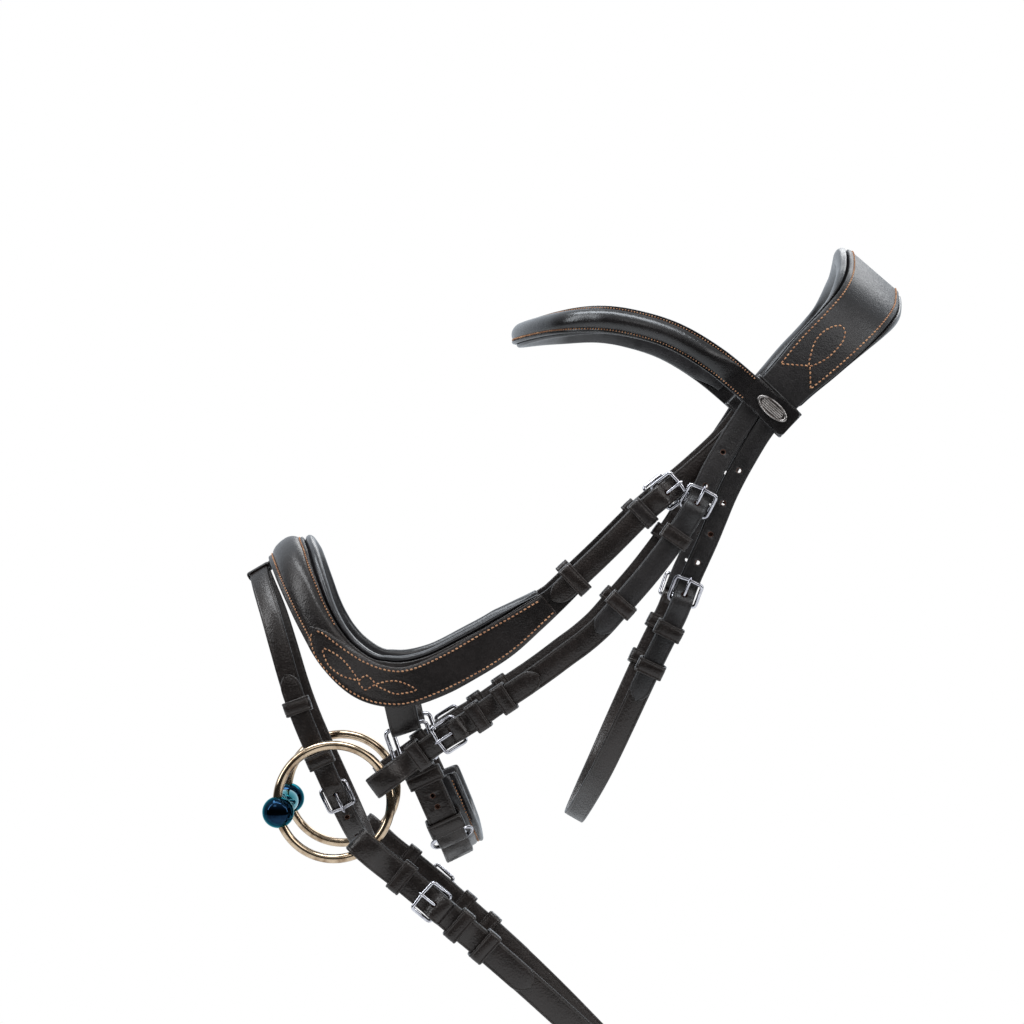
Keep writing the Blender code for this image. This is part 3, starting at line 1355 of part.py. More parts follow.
def make_chin():
    """The chin strap from the near dee round its roller."""
    line = LINES["chin"]
    place = line.near(*CHIN_ROLLER_PIXELS)
    axis, back = chin_heights()
    first = dee_turn()
    first += run(0, place, step=STEP / 2)[1:]
    rows = [chin_row(line, s, n) for s, n in first]
    centre, along, out, across = line.frame(place)
    for angle in (36, 72, 108, 144):
        a = math.radians(angle)
        turn = centre - along * axis * math.sin(a) + out * (axis - axis * math.cos(a))
        rows.append([turn - across * CHIN_WIDTH / 2, turn + across * CHIN_WIDTH / 2])
    rows += [chin_row(line, s, n) for s, n in run(place, CHIN_TAIL * 1.2, back, STEP / 2)]
    strap = thicken(strip("chin_strap", rows), LEATHER)
    low = first[0][1] - LEATHER / 2 + SEWN
    collar = band("collar", line, line.near(*CHIN_COLLAR_PIXELS), low, LEATHER / 2 + GAP, CHIN_WIDTH)
    strap = cut(join(strap, [collar]), holes(line, CHIN_HOLE_PIXELS))
    give(strap, "chin_strap", "strap")
    low, high = back - LEATHER / 2 - KEEPER_ROOM, LEATHER / 2 + KEEPER_ROOM
    where = line.near(*CHIN_KEEPER_PIXELS)
    chin_runner = band("chin_runner", line, where, low, high, CHIN_WIDTH)
    give(chin_runner, "chin_runner", "keeper", line.at(where))
    note("chin_runner", line.at(where), line.frame(where)[1])


def make_roller():
    """The roller that the chin strap turns round, and the wire frame that carries it."""
    line = LINES["chin"]
    place, height = line.near(*CHIN_ROLLER_PIXELS), chin_heights()[0]
    half = CHIN_WIDTH / 2 + ROOM
    centre, along, out, across = line.frame(place)
    centre = centre + out * height
    roller = rod("chin_roller", centre - across * half, centre + across * half, ROLLER_RADIUS, 12, "part")
    bore = rod("bore", centre - across * half * 1.5, centre + across * half * 1.5, ROLLER_WIRE + GAP, 8)
    give(cut(roller, [bore]), "chin_roller", "steel", centre)
    note("chin_roller", centre, across)
    side, corner = half + ROOM + ROLLER_WIRE, ROLLER_WIRE
    far_bar = line.at(place + ROLLER_FRAME, frame_bar_height())
    reach = far_bar - centre
    reach = reach - across * reach.dot(across)
    share = corner / reach.length
    outline = [(0, -side + corner), (0, side - corner), (share, side), (1 - share, side), (1, side - corner)]
    outline += [(1, -side + corner), (1 - share, -side), (share, -side)]
    places = [centre + reach * u + across * w for u, w in outline]
    give(tube("roller_frame", places, ROLLER_WIRE, cyclic=True), "roller_frame", "steel")


def pad_strap_height():
    """The height of the strap that runs along the chin pad."""
    return chin_pad_top() + ROOM + LEATHER / 2


def frame_bar_height():
    return pad_strap_height() + ROLLER_WIRE + ROOM + LEATHER / 2


def make_chin_pad():
    """The padded piece behind the chin, from side to side."""
    line = LINES["chin"]
    start = line.near(*CHIN_PAD_START_PIXELS)
    top = chin_pad_top()
    low, half, seam = top - CHIN_PAD, CHIN_PAD_WIDTH / 2, top - CHIN_PAD * 0.12
    sections = []
    for k, (s, _) in enumerate(run(start, line.length)):
        bottom = top - CHIN_PAD * (0.6 if k == 0 else 1.0)
        section = [(-half, (top + low) / 2), (-half * 0.9, top), (-half * 0.62, seam), (-half * 0.5, top)]
        section += [(half * 0.5, top), (half * 0.62, seam), (half * 0.9, top), (half, (top + low) / 2)]
        section += [(half * 0.8, bottom), (-half * 0.8, bottom)]
        sections.append([line.at(s, n, w - CHIN_PAD_SHIFT) for w, n in section])
    give(mirrored(loft("chin_pad", sections, (True, False))), "chin_pad", "padding")


def make_chin_pad_strap():
    """The strap from the far dee along the chin pad to the roller's frame."""
    line = LINES["chin"]
    start = line.near(*CHIN_PAD_START_PIXELS)
    lie = pad_strap_height()
    far = dee_turn() + run(0, start)[1:] + [(start + CHIN_TAIL, lie * 0.5)]
    far += run(start + 2 * CHIN_TAIL, line.length, lie)
    rows = [[point * FLIP for point in chin_row(line, s, n)] for s, n in far]
    bar = line.near(*CHIN_ROLLER_PIXELS) + ROLLER_FRAME
    rows += [chin_row(line, s, n) for s, n in run(line.length, bar + CHIN_TAIL, lie)[1:] + [(bar, lie)]]
    loop, middle = ROLLER_WIRE + ROOM + LEATHER / 2, frame_bar_height()
    turn = [
        (bar - loop * math.sin(math.radians(a)), middle - loop * math.cos(math.radians(a)))
        for a in (36, 72, 108, 144, 180)
    ]
    rows += [chin_row(line, s, n) for s, n in turn + [(bar + CHIN_TAIL * 0.9, lie + 2 * loop)]]
    give(thicken(strip("chin_pad_strap", rows), LEATHER), "chin_pad_strap", "strap")


def main():
    for obj in list(bpy.data.objects):
        bpy.data.objects.remove(obj)
    GROUPS["part"] = collection("horse_bridle")
    GROUPS["cutters"] = collection("cutters", hidden=True)
    make_looks()
    make_lines()
    make_stations()
    make_crown()
    make_crown_pad()
    make_hanger()
    make_cheekpieces()
    make_throat_strap()
    make_noseband()
    make_dees()
    make_browband()
    make_browband_pad()
    make_badges()
    make_noseband_pad()
    make_flash_strap()
    make_reins()
    make_bit()
    make_chin()
    make_roller()
    make_chin_pad()
    make_chin_pad_strap()


main()
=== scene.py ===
"""Looks of a padded English bridle with flash noseband, loose-ring bit and reins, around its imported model.

Metres, in the model's frame: +Z up, +X from the nose towards the neck, -Y the near side, origin at the
poll. Places along the straps are picture columns and rows of a side view, turned into metres by PIXEL.
"""

import json
import math

import bmesh
import bpy
from mathutils import Matrix, Vector
from mathutils.bvhtree import BVHTree

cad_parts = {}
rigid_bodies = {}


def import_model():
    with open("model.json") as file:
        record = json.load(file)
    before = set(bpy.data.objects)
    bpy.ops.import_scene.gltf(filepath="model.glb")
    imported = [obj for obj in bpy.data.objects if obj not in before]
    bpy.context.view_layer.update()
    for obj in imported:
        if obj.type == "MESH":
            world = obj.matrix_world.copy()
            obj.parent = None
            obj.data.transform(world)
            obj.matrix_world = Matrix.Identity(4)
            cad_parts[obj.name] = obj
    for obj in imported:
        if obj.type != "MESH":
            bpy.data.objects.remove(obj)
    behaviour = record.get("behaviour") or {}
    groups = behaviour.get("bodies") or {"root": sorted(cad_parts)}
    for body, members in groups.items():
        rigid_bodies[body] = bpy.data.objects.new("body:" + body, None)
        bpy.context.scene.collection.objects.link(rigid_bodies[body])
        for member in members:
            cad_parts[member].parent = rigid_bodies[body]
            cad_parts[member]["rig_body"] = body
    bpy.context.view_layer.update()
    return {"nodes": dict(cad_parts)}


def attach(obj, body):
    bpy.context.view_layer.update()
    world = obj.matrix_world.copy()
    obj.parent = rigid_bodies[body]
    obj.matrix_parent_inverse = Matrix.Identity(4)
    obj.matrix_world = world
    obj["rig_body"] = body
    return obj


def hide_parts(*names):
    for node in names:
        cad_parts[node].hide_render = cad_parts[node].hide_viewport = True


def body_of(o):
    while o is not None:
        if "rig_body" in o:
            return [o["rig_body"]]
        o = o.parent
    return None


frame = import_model()
NODES = frame["nodes"]
ROOT = "bridle"

# The side view that the places are read from
PIXEL = 0.0006
EYE_DISTANCE = 3.0
SIDE_DEPTH = 0.075
PICTURE = 1024
MIDDLE_COLUMN, MIDDLE_ROW = 512, 512
POLL_COLUMN, POLL_ROW = 860, 287
SENSOR = 36.0

# Sizes shared with the model: leather, and the room between its layers
HEAD_HALF_WIDTH = 0.1
STEP = 0.0135
LEATHER = 0.0025
GAP = 0.0004
ROOM = 0.0006
KEEPER_ROOM = 0.0009
FOLD = 0.022
CHAPE = 0.0021
KEEPER_LEATHER = 0.0016
KEEPER_LENGTH = 0.009
LAYER = LEATHER + 1.5 * GAP
SEWN = 0.0003
HOLE = 0.0013

# Widths of the straps
CROWN_WIDTH = 0.042
CHEEK_WIDTH = 0.0140
THROAT_WIDTH = 0.0130
HANGER_WIDTH = 0.0140
NOSEBAND_WIDTH = 0.0300
BROWBAND_WIDTH = 0.0168
FLASH_WIDTH = 0.0125
REIN_WIDTH = 0.0165
CHIN_WIDTH = 0.0180
TAB_WIDTH = 0.0185
TIP_SHARE = 0.3

# Pads and rolls
CROWN_PAD = 0.0100
CROWN_PAD_OVERHANG = 0.0050
NOSE_PAD = 0.0050
NOSE_PAD_RIM = 0.0060
BROW_PAD = 0.0035
NOSE_ROLL = 0.0045
BROW_ROLL = 0.0042
CHIN_PAD = 0.0090
CHIN_PAD_WIDTH = 0.0270
CHIN_PAD_SHIFT = 0.0050
NOSE_PAD_FOOT_SHARE = 0.20
ARCH_RISE_SHARE, ARCH_CREST_SHARE, ARCH_FOOT_SHARE = 0.74, 0.26, 0.56

# Buckles, loops and badges
BAR = 0.0012
TONGUE = 0.0010
BUCKLE_REACH = 0.0140
TONGUE_PLAY = 0.0005
LOOP_LENGTH = 0.0190
LOOP_SHIFT = 0.0012
LOOP_SPARE = 0.0015
FLASH_LOOP_LENGTH = 0.0160
BADGE_LENGTH, BADGE_WIDTH, BADGE_THICKNESS = 0.0220, 0.0095, 0.0012
RIDGE = 0.00038

# Bit
RING_RADIUS = 0.0341
RING_WIRE = 0.00275
RING_DEPTH = 0.0740
LOOP_BEHIND = 0.0043
RING_COLUMN, RING_ROW = 334, 802
BALL_COLUMN, BALL_ROW = 279, 812
BALL_RADIUS = 0.0096
BALL_CAP = 0.0066
BORE_GAP = 0.0005
ARM_RADIUS = 0.0072
ARM_NECK = 0.0042
EYE_RADIUS, EYE_WIRE = 0.0052, 0.0019
LINK_HALF = 0.0090
LINK_WIDTH, LINK_HEIGHT = 0.0095, 0.0060
LINK_SLACK = 0.0004
LOOP_SLACK = 0.0040

# Dees, chin roller and hanger
DEE_WIRE = 0.0013
DEE_LENGTH = 0.0255
DEE_CORNER_SHARE = 0.11
CHIN_TAIL = 0.0150
ROLLER_FRAME = 0.0130
ROLLER_RADIUS = 0.0034
ROLLER_WIRE = 0.0012
HANGER_SHIFT_SHARE = 0.17

# Fine shapes
FINE_STEP = 0.0022
CREASE, CREASE_DEPTH, CORNER_SHARE = 0.0017, 0.00022, 0.4
TIP = 0.0100
HOLE_BEVEL = 0.0004
ROLL_SHARES = (0.0, 0.15, 0.29, 0.42, 0.53, 0.62, 0.68, 0.72, 0.75, 0.78, 0.82, 0.88, 0.94)
ROLL_EDGE_SHARE = 0.75
SEAM_SHARE, CHIN_SEAM_SHARE = 0.79, 0.66
PATCH_LEATHER, PATCH_MARGIN = 0.0011, 0.0020
EDGE_BLEND = 0.03
PROBE = 0.01
PAD_TAPER_SHARE = 0.16
FLASH_LOOP_LEATHER = 0.0009

# The browband's end on its loop
BLOCK_REACH, BLOCK_ROUND, BLOCK_NECK, BLOCK_BLEND = 0.0122, 0.0032, 0.0085, 0.008

# Stitching
THREAD = 0.00046
PITCH = 0.0028
SHORT_PITCH = 0.0021
FINE_PITCH = 0.00185
STITCH_INSET = 0.0030

NEAR, FLIP, ACROSS_HEAD = Vector((0, -1, 0)), Vector((1, -1, 1)), Vector((0, 1, 0))
FINE = 24

# Routes over the head, as (column, row) places with a depth share and a turn share each
CROWN_PIXELS = ((764, 409), (790, 382), (816, 356), (843, 330), (863, 308), (873, 289), (872, 272))
CROWN_DEPTH_SHARES = (0.905, 0.90, 0.875, 0.82, 0.70, 0.44, 0.0)
CROWN_TURN_SHARES = (0.0, 0.03, 0.12, 0.28, 0.50, 0.78, 1.0)
CROWN_WIDTH_SHARES = (0.66, 0.68, 0.78, 0.82, 0.85, 0.91, 0.98)
CROWN_AWAY = (0.65, 0.0, 0.76)

BROWBAND_PIXELS = ((776, 412), (752, 391), (716, 361), (676, 337))
BROWBAND_PIXELS += ((636, 324), (598, 319), (556, 323), (521, 333))
BROWBAND_DEPTH_SHARES = (0.96, 0.96, 0.955, 0.93, 0.89, 0.81, 0.60, 0.0)
BROWBAND_TURN_SHARES = (0.0, 0.02, 0.05, 0.08, 0.16, 0.30, 0.66, 1.0)
BROWBAND_AWAY = (-0.80, 0.0, 0.60)

CHEEK_PIXELS = ((756, 400), (744, 419), (731, 439), (714, 468), (695, 507), (676, 537))
CHEEK_PIXELS += ((648, 574), (621, 605), (595, 633), (565, 656), (535, 678), (502, 700))
CHEEK_PIXELS += ((474, 719), (443, 738), (412, 760), (386, 779))
CHEEK_DEPTH_SHARES = (0.905, 0.91, 0.925, 0.95, 0.965, 0.965, 0.96, 0.95)
LOOP_SHARE = (RING_DEPTH - LOOP_BEHIND) / HEAD_HALF_WIDTH
CHEEK_DEPTH_SHARES += (0.93, 0.905, 0.875, 0.84, 0.81, 0.77, 0.725, LOOP_SHARE)

THROAT_PIXELS = ((772, 418), (758, 438), (745, 460), (728, 492))
THROAT_PIXELS += ((708, 540), (690, 580), (677, 614), (660, 648))
THROAT_PIXELS += ((642, 686), (620, 733), (602, 770), (585, 800), (574, 816))
THROAT_DEPTH_SHARES = (0.905, 0.905, 0.905, 0.91, 0.92, 0.92, 0.915, 0.90, 0.87, 0.80, 0.66, 0.38, 0.0)
THROAT_TURN_SHARES = (0.0, 0.0, 0.0, 0.0, 0.0, 0.02, 0.04, 0.07, 0.12, 0.24, 0.46, 0.76, 1.0)
THROAT_AWAY = (-0.50, 0.0, -0.86)

NOSE_PIXELS = ((758, 404), (744, 422), (728, 440), (712, 455), (694, 471), (677, 485), (658, 500), (640, 516))
NOSE_PIXELS += ((610, 546), (585, 570), (560, 593), (530, 618))
NOSE_PIXELS += ((500, 640), (466, 658), (434, 673), (402, 682))
NOSE_PIXELS += ((370, 676), (343, 652), (322, 618), (304, 582), (294, 558), (290, 546))
NOSE_DEPTH_SHARES = (0.868, 0.870, 0.873, 0.880, 0.887, 0.893, 0.895, 0.897)
NOSE_DEPTH_SHARES += (0.90, 0.90, 0.90, 0.90, 0.875, 0.84, 0.80, 0.76, 0.72, 0.66, 0.59, 0.47, 0.28, 0.0)
NOSE_TURN_SHARES = (0.0,) * 11 + (0.01, 0.03, 0.05, 0.08, 0.12, 0.18, 0.28, 0.42, 0.62, 0.82, 1.0)
NOSE_WIDTH_SHARES = (0.44,) * 9 + (0.46, 0.55, 0.66, 0.80, 0.92, 0.99, 1.02, 1.05, 1.05, 1.02, 1.0, 1.0, 1.0)
NOSE_AWAY = (-0.51, 0.0, 0.86)

FLASH_PIXELS = ((259, 569), (262, 585), (271, 616), (281, 652))
FLASH_PIXELS += ((293, 693), (306, 728), (322, 764), (338, 798))
FLASH_PIXELS += ((352, 826), (364, 846), (369, 853))
FLASH_DEPTH_SHARES = (0.0, 0.22, 0.42, 0.50, 0.53, 0.54, 0.54, 0.52, 0.44, 0.24, 0.0)
FLASH_TURN_SHARES = (1.0, 0.74, 0.40, 0.20, 0.08, 0.02, 0.0, 0.0, -0.3, -0.72, -1.0)
FLASH_AWAY = (-0.51, 0.0, 0.86)

REIN_PIXELS = ((367, 848), (384, 863), (402, 877), (430, 900))
REIN_PIXELS += ((457, 923), (483, 945), (520, 977), (560, 1013))
REIN_PIXELS += ((600, 1050), (640, 1086), (664, 1108))
REIN_DEPTH_SHARES = (LOOP_SHARE, 0.70, 0.705, 0.70, 0.69, 0.67, 0.61, 0.51, 0.37, 0.20, 0.10)

TAB_PIXELS = ((397, 693), (400, 706), (405, 727), (412, 747), (419, 766))
TAB_DEPTH_SHARES = (0.742, 0.705, 0.65, 0.625, 0.61)

CHIN_PIXELS = ((419, 766), (428, 785), (440, 812), (452, 838), (462, 859), (467, 870), (469, 874))
CHIN_DEPTH_SHARES = (0.61, 0.61, 0.60, 0.54, 0.38, 0.18, 0.0)
CHIN_TURN_SHARES = (0.0, 0.0, 0.08, 0.28, 0.58, 0.84, 1.0)
CHIN_AWAY = (0.44, 0.0, -0.90)

# Places of buckles, keepers and tips along the straps
NOSE_BUCKLE_PIXELS, NOSE_KEEPER_PIXELS = (660, 498), (643, 513)
NOSE_RUNNER_PIXELS, NOSE_TIP_PIXELS = (576, 580), (552, 601)
CHEEK_BUCKLE_PIXELS, CHEEK_KEEPER_PIXELS = (692, 511), (676, 537)
CHEEK_RUNNER_PIXELS, CHEEK_TIP_PIXELS = (621, 605), (596, 632)
LOWER_BUCKLE_PIXELS, LOWER_KEEPER_PIXELS = (460, 727), (478, 714)
LOWER_END_KEEPER_PIXELS, LOWER_TIP_PIXELS, BIT_KEEPER_PIXELS = (504, 698), (541, 675), (419, 754)
THROAT_BUCKLE_PIXELS, THROAT_KEEPER_PIXELS = (683, 603), (671, 631)
THROAT_RUNNER_PIXELS, THROAT_TIP_PIXELS = (650, 667), (636, 700)
FLASH_BUCKLE_PIXELS, FLASH_KEEPER_PIXELS = (333, 786), (321, 760)
FLASH_RUNNER_PIXELS, FLASH_TIP_PIXELS = (304, 704), (295, 673)
REIN_BUCKLE_PIXELS, REIN_KEEPER_PIXELS = (440, 908), (459, 924)
REIN_RUNNER_PIXELS, REIN_TIP_PIXELS, REIN_BIT_KEEPER_PIXELS = (484, 946), (530, 986), (402, 877)
CHEEK_HOLE_PIXELS = ((724, 453), (708, 486))
THROAT_HOLE_PIXELS = ((738, 470), (721, 502), (707, 533), (695, 562))
FLASH_HOLE_PIXELS, CHIN_HOLE_PIXELS = ((348, 816), (357, 833)), ((432, 796), (437, 806))

# Where the pads, rolls, loops and other pieces lie
CROWN_PAD_END_PIXELS, NOSE_PAD_END_PIXELS, CHIN_PAD_START_PIXELS = (783, 390), (545, 606), (428, 786)
ROLL_START_PIXELS, ROLL_END_PIXELS = (352, 662), (312, 600)
BROW_ROLL_START_PIXELS, BROW_ROLL_END_PIXELS = (734, 380), (700, 357)
LOOP_PIXELS, BADGE_PIXELS = (768, 405), (774, 407)
DEE_PIXELS = (405, 728)
CHIN_ROLLER_PIXELS, CHIN_COLLAR_PIXELS, CHIN_KEEPER_PIXELS = (452, 839), (424, 778), (445, 826)

# The noseband leather's upper edge on the side, and how far its padding stands out beyond it
UPPER_EDGE = ((545, 591), (520, 606), (495, 621), (470, 635), (447, 647), (425, 657), (403, 662), (385, 661))
UPPER_EDGE += ((366, 655), (350, 642), (339, 628), (331, 614), (325, 601), (319, 585), (313, 568), (309, 552))
SIDE_RIM_SHARE = 0.72

# Stitch lines
CROWN_FRONT_START, CROWN_REAR_START, CROWN_POINT = (786, 369), (810, 388), (810, 366)
CROWN_LEAF = ((810, 366), (811, 354), (815, 342), (822, 333), (832, 327), (841, 326), (845, 332))
CROWN_LEAF += ((843, 341), (836, 350), (826, 359), (810, 366))
BROW_UPPER_START, BROW_LOWER_START = (755, 381), (748, 393)
NOSE_SEAM_START = (326, 632)
PATCH_UPPER = ((539, 601), (512, 617), (485, 632), (447, 654), (410, 670), (385, 670), (360, 660), (335, 643))
PATCH_UPPER += ((322, 633), (314, 631))
PATCH_LOWER = ((554, 612), (510, 652), (460, 682), (415, 701), (390, 704), (365, 699), (340, 684), (318, 660))
PATCH_LOWER += ((311, 642), (312, 632))
ALMOND_FRONT = ((323, 649), (332, 652), (343, 660), (352, 671), (358, 680))
ALMOND_FRONT += ((352, 679), (342, 676), (330, 667), (325, 658), (323, 649))
DIAMOND = ((358, 682), (362, 678), (366, 675.5), (371, 679), (375, 684))
DIAMOND += ((371, 687), (365, 690), (361, 686), (358, 682))
ALMOND_REAR = ((376, 685), (385, 682), (395, 681), (406, 684), (416, 690), (406, 693), (395, 694), (385, 690))
ALMOND_REAR += ((376, 685),)


def pixel_at(depth):
    """How much one picture column or row is at this depth, in metres."""
    return PIXEL * (EYE_DISTANCE + depth + SIDE_DEPTH) / EYE_DISTANCE


def seen(column, row, depth):
    """The place at this depth that shows at this column and row."""
    scale, poll = pixel_at(depth), pixel_at(0)
    x = (column - MIDDLE_COLUMN) * scale - (POLL_COLUMN - MIDDLE_COLUMN) * poll
    z = (MIDDLE_ROW - row) * scale - (MIDDLE_ROW - POLL_ROW) * poll
    return Vector((x, depth, z))


def in_picture(point):
    """The column and row that a place shows at."""
    scale, poll = pixel_at(point.y), pixel_at(0)
    column = MIDDLE_COLUMN + (point.x + (POLL_COLUMN - MIDDLE_COLUMN) * poll) / scale
    row = MIDDLE_ROW - (point.z + (MIDDLE_ROW - POLL_ROW) * poll) / scale
    return column, row


EYE = seen(MIDDLE_COLUMN, MIDDLE_ROW, -(EYE_DISTANCE + SIDE_DEPTH))


def curve_value(values, place, before=None, after=None):
    """A Catmull-Rom curve through evenly numbered values, read at a fractional number."""
    last = len(values) - 1
    i = min(int(place), last - 1)
    t = place - i
    a, b, c, d = (values[min(max(k, 0), last)] for k in (i - 1, i, i + 1, i + 2))
    if i == 0:
        a = b + (b - c) if before is None else before
    if i == last - 1:
        d = c + (c - b) if after is None else after
    return 0.5 * (2 * b + (c - a) * t + (2 * a - 5 * b + 4 * c - d) * t**2 + (3 * b - a - 3 * c + d) * t**3)


class Line:
    """A smooth route over the head, with its length, and a frame of its own at each place.

    T runs along it, N points out from the head and W runs across, so T x N = W.
    Where it meets the middle plane it goes straight across.
    """

    def __init__(self, pixels, depth_shares, turn_shares=(), away=(0, 0, 1), width_shares=()):
        places = [seen(c, r, -share * HEAD_HALF_WIDTH) for (c, r), share in zip(pixels, depth_shares)]
        turns = list(turn_shares) or [0.0] * len(places)
        widths = list(width_shares) or [1.0] * len(places)
        self.opens, self.closes = depth_shares[0] == 0, depth_shares[-1] == 0
        before = places[1] * FLIP if self.opens else None
        after = places[-2] * FLIP if self.closes else None
        places_at = [k / FINE for k in range(FINE * (len(places) - 1) + 1)]
        self.points = [curve_value(places, k, before, after) for k in places_at]
        self.turns = [curve_value(turns, k) for k in places_at]
        self.shares = [curve_value(widths, k) for k in places_at]
        self.away = Vector(away).normalized()
        self.lengths = [0.0]
        for a, b in zip(self.points, self.points[1:]):
            self.lengths.append(self.lengths[-1] + (b - a).length)
        self.length = self.lengths[-1]

    def spot(self, s):
        """The span that holds the length s, and how far along it s is."""
        s = min(max(s, 0.0), self.length)
        low, high = 0, len(self.lengths) - 2
        while low < high:
            middle = (low + high + 1) // 2
            low, high = (middle, high) if self.lengths[middle] <= s else (low, middle - 1)
        return low, (s - self.lengths[low]) / (self.lengths[low + 1] - self.lengths[low])

    def share(self, s):
        i, t = self.spot(s)
        return self.shares[i] * (1 - t) + self.shares[i + 1] * t

    def tangent(self, k):
        last = len(self.points) - 1
        if self.closes and k == last:
            return Vector((0, 1, 0))
        if self.opens and k == 0:
            return NEAR
        return (self.points[min(k + 1, last)] - self.points[max(k - 1, 0)]).normalized()

    def frame(self, s):
        """Place, T, N and W at the length s, straight on past both ends."""
        i, t = self.spot(s)
        place = self.points[i].lerp(self.points[i + 1], t)
        along = self.tangent(i).lerp(self.tangent(i + 1), t).normalized()
        turn = (self.turns[i] * (1 - t) + self.turns[i + 1] * t) * math.pi / 2
        out = NEAR * math.cos(turn) + self.away * math.sin(turn)
        out = (out - along * out.dot(along)).normalized()
        place = place + along * (s - min(max(s, 0.0), self.length))
        return place, along, out, along.cross(out)

    def at(self, s, n=0.0, w=0.0):
        place, along, out, across = self.frame(s)
        return place + out * n + across * w

    def near(self, column, row):
        """The length at which the line shows nearest to this column and row."""
        gaps = [math.dist(in_picture(point), (column, row)) for point in self.points]
        return self.lengths[gaps.index(min(gaps))]


CROWN = Line(CROWN_PIXELS, CROWN_DEPTH_SHARES, CROWN_TURN_SHARES, CROWN_AWAY, CROWN_WIDTH_SHARES)
NOSE = Line(NOSE_PIXELS, NOSE_DEPTH_SHARES, NOSE_TURN_SHARES, NOSE_AWAY, NOSE_WIDTH_SHARES)
CHIN = Line(CHIN_PIXELS, CHIN_DEPTH_SHARES, CHIN_TURN_SHARES, CHIN_AWAY)
CHEEK = Line(CHEEK_PIXELS, CHEEK_DEPTH_SHARES)
THROAT = Line(THROAT_PIXELS, THROAT_DEPTH_SHARES, THROAT_TURN_SHARES, THROAT_AWAY)
FLASH = Line(FLASH_PIXELS, FLASH_DEPTH_SHARES, FLASH_TURN_SHARES, FLASH_AWAY)
REIN = Line(REIN_PIXELS, REIN_DEPTH_SHARES)
TAB = Line(TAB_PIXELS, TAB_DEPTH_SHARES)


def loop_heights():
    """The clear inside of the browband's loop, round the crown piece and the hanger under it."""
    return -(LAYER + LEATHER / 2 + 2 * ROOM), LEATHER / 2 + ROOM


def brow_line():
    """The browband's route. Its ends lie on the outer faces of the loops."""
    height = loop_heights()[1] + KEEPER_LEATHER + LEATHER / 2 - SEWN
    start = -CROWN.at(CROWN.near(*LOOP_PIXELS), height).y / HEAD_HALF_WIDTH
    shares = (start, start) + BROWBAND_DEPTH_SHARES[2:]
    return Line(BROWBAND_PIXELS, shares, BROWBAND_TURN_SHARES, BROWBAND_AWAY)


BROW = brow_line()


def eased(value):
    value = min(max(value, 0.0), 1.0)
    return value * value * (3 - 2 * value)


def across_of(line, column, row):
    """Length along a line and place across it of a picture place."""
    s = line.near(column, row)
    start, end = Vector(in_picture(line.at(s))), Vector(in_picture(line.at(s, 0, PROBE)))
    way = end - start
    return s, PROBE * (Vector((column, row)) - start).dot(way) / way.length_squared


UPPER_PLACES = sorted(across_of(NOSE, column, row) for column, row in UPPER_EDGE)


def read_at(table, s):
    """A value between the two entries of a (length, value) table."""
    for (a, u), (b, v) in zip(table, table[1:]):
        if s <= b:
            return u + (v - u) * min(max((s - a) / max(b - a, 1e-6), 0.0), 1.0)
    return table[-1][1]


def crown_half(s):
    return CROWN_WIDTH * CROWN.share(s) / 2


def nose_half(s):
    return max(NOSEBAND_WIDTH * NOSE.share(s), HANGER_WIDTH) / 2


def nose_upper(s):
    """How far the noseband's leather reaches above its line."""
    half = nose_half(s)
    first, reach = UPPER_PLACES[0]
    if s <= first:
        return half + (min(half, reach) - half) * eased(1 - (first - s) / EDGE_BLEND)
    return min(half, read_at(UPPER_PLACES, s))


def nose_reach(s, w):
    """The leather's reach on the side of its line that w lies on."""
    return nose_upper(s) if w > 0 else nose_half(s)


def nose_rim(s):
    """How far the padding stands out above the leather."""
    place = (s - NOSE.near(*ROLL_END_PIXELS) + EDGE_BLEND) / (2 * EDGE_BLEND)
    return NOSE_PAD_RIM * (SIDE_RIM_SHARE + (1 - SIDE_RIM_SHARE) * eased(place))


def nose_roll(s):
    first, last = NOSE.near(*ROLL_START_PIXELS), NOSE.near(*ROLL_END_PIXELS)
    return NOSE_ROLL * eased((s - first) / (last - first))


def brow_half(s):
    """Half the browband's width. Its end widens into a block with rounded corners over the crown piece."""
    widened = BROWBAND_WIDTH / 2 + (LOOP_LENGTH - BROWBAND_WIDTH) / 2 * eased((BLOCK_NECK - s) / BLOCK_BLEND)
    into = min(max((s + BLOCK_REACH) / BLOCK_ROUND, 0.0), 1.0)
    return widened - BLOCK_ROUND * (1 - (1 - (1 - into) ** 2) ** 0.5)


def brow_roll(s):
    first, last = BROW.near(*BROW_ROLL_START_PIXELS), BROW.near(*BROW_ROLL_END_PIXELS)
    return BROW_ROLL * eased((s - first) / (last - first))


# Camera, light and floor


def linked(name, data):
    """A new object in the scene."""
    made = bpy.data.objects.new(name, data)
    bpy.context.scene.collection.objects.link(made)
    return made


def make_camera():
    data = bpy.data.cameras.new("camera")
    data.sensor_width = SENSOR
    data.lens = SENSOR * EYE_DISTANCE / (PICTURE * PIXEL)
    camera = linked("camera", data)
    camera.location = EYE
    camera.rotation_euler = (math.pi / 2, 0, 0)
    bpy.context.scene.camera = camera


def area_light(name, place, target, size, power, colour):
    data = bpy.data.lights.new(name, "AREA")
    data.shape = "RECTANGLE"
    data.size, data.size_y = size
    data.energy = power
    data.color = colour
    light = linked(name, data)
    light.location = place
    light.rotation_euler = (Vector(target) - Vector(place)).to_track_quat("-Z", "Y").to_euler()


MIDDLE = (-0.2, 0.0, -0.25)

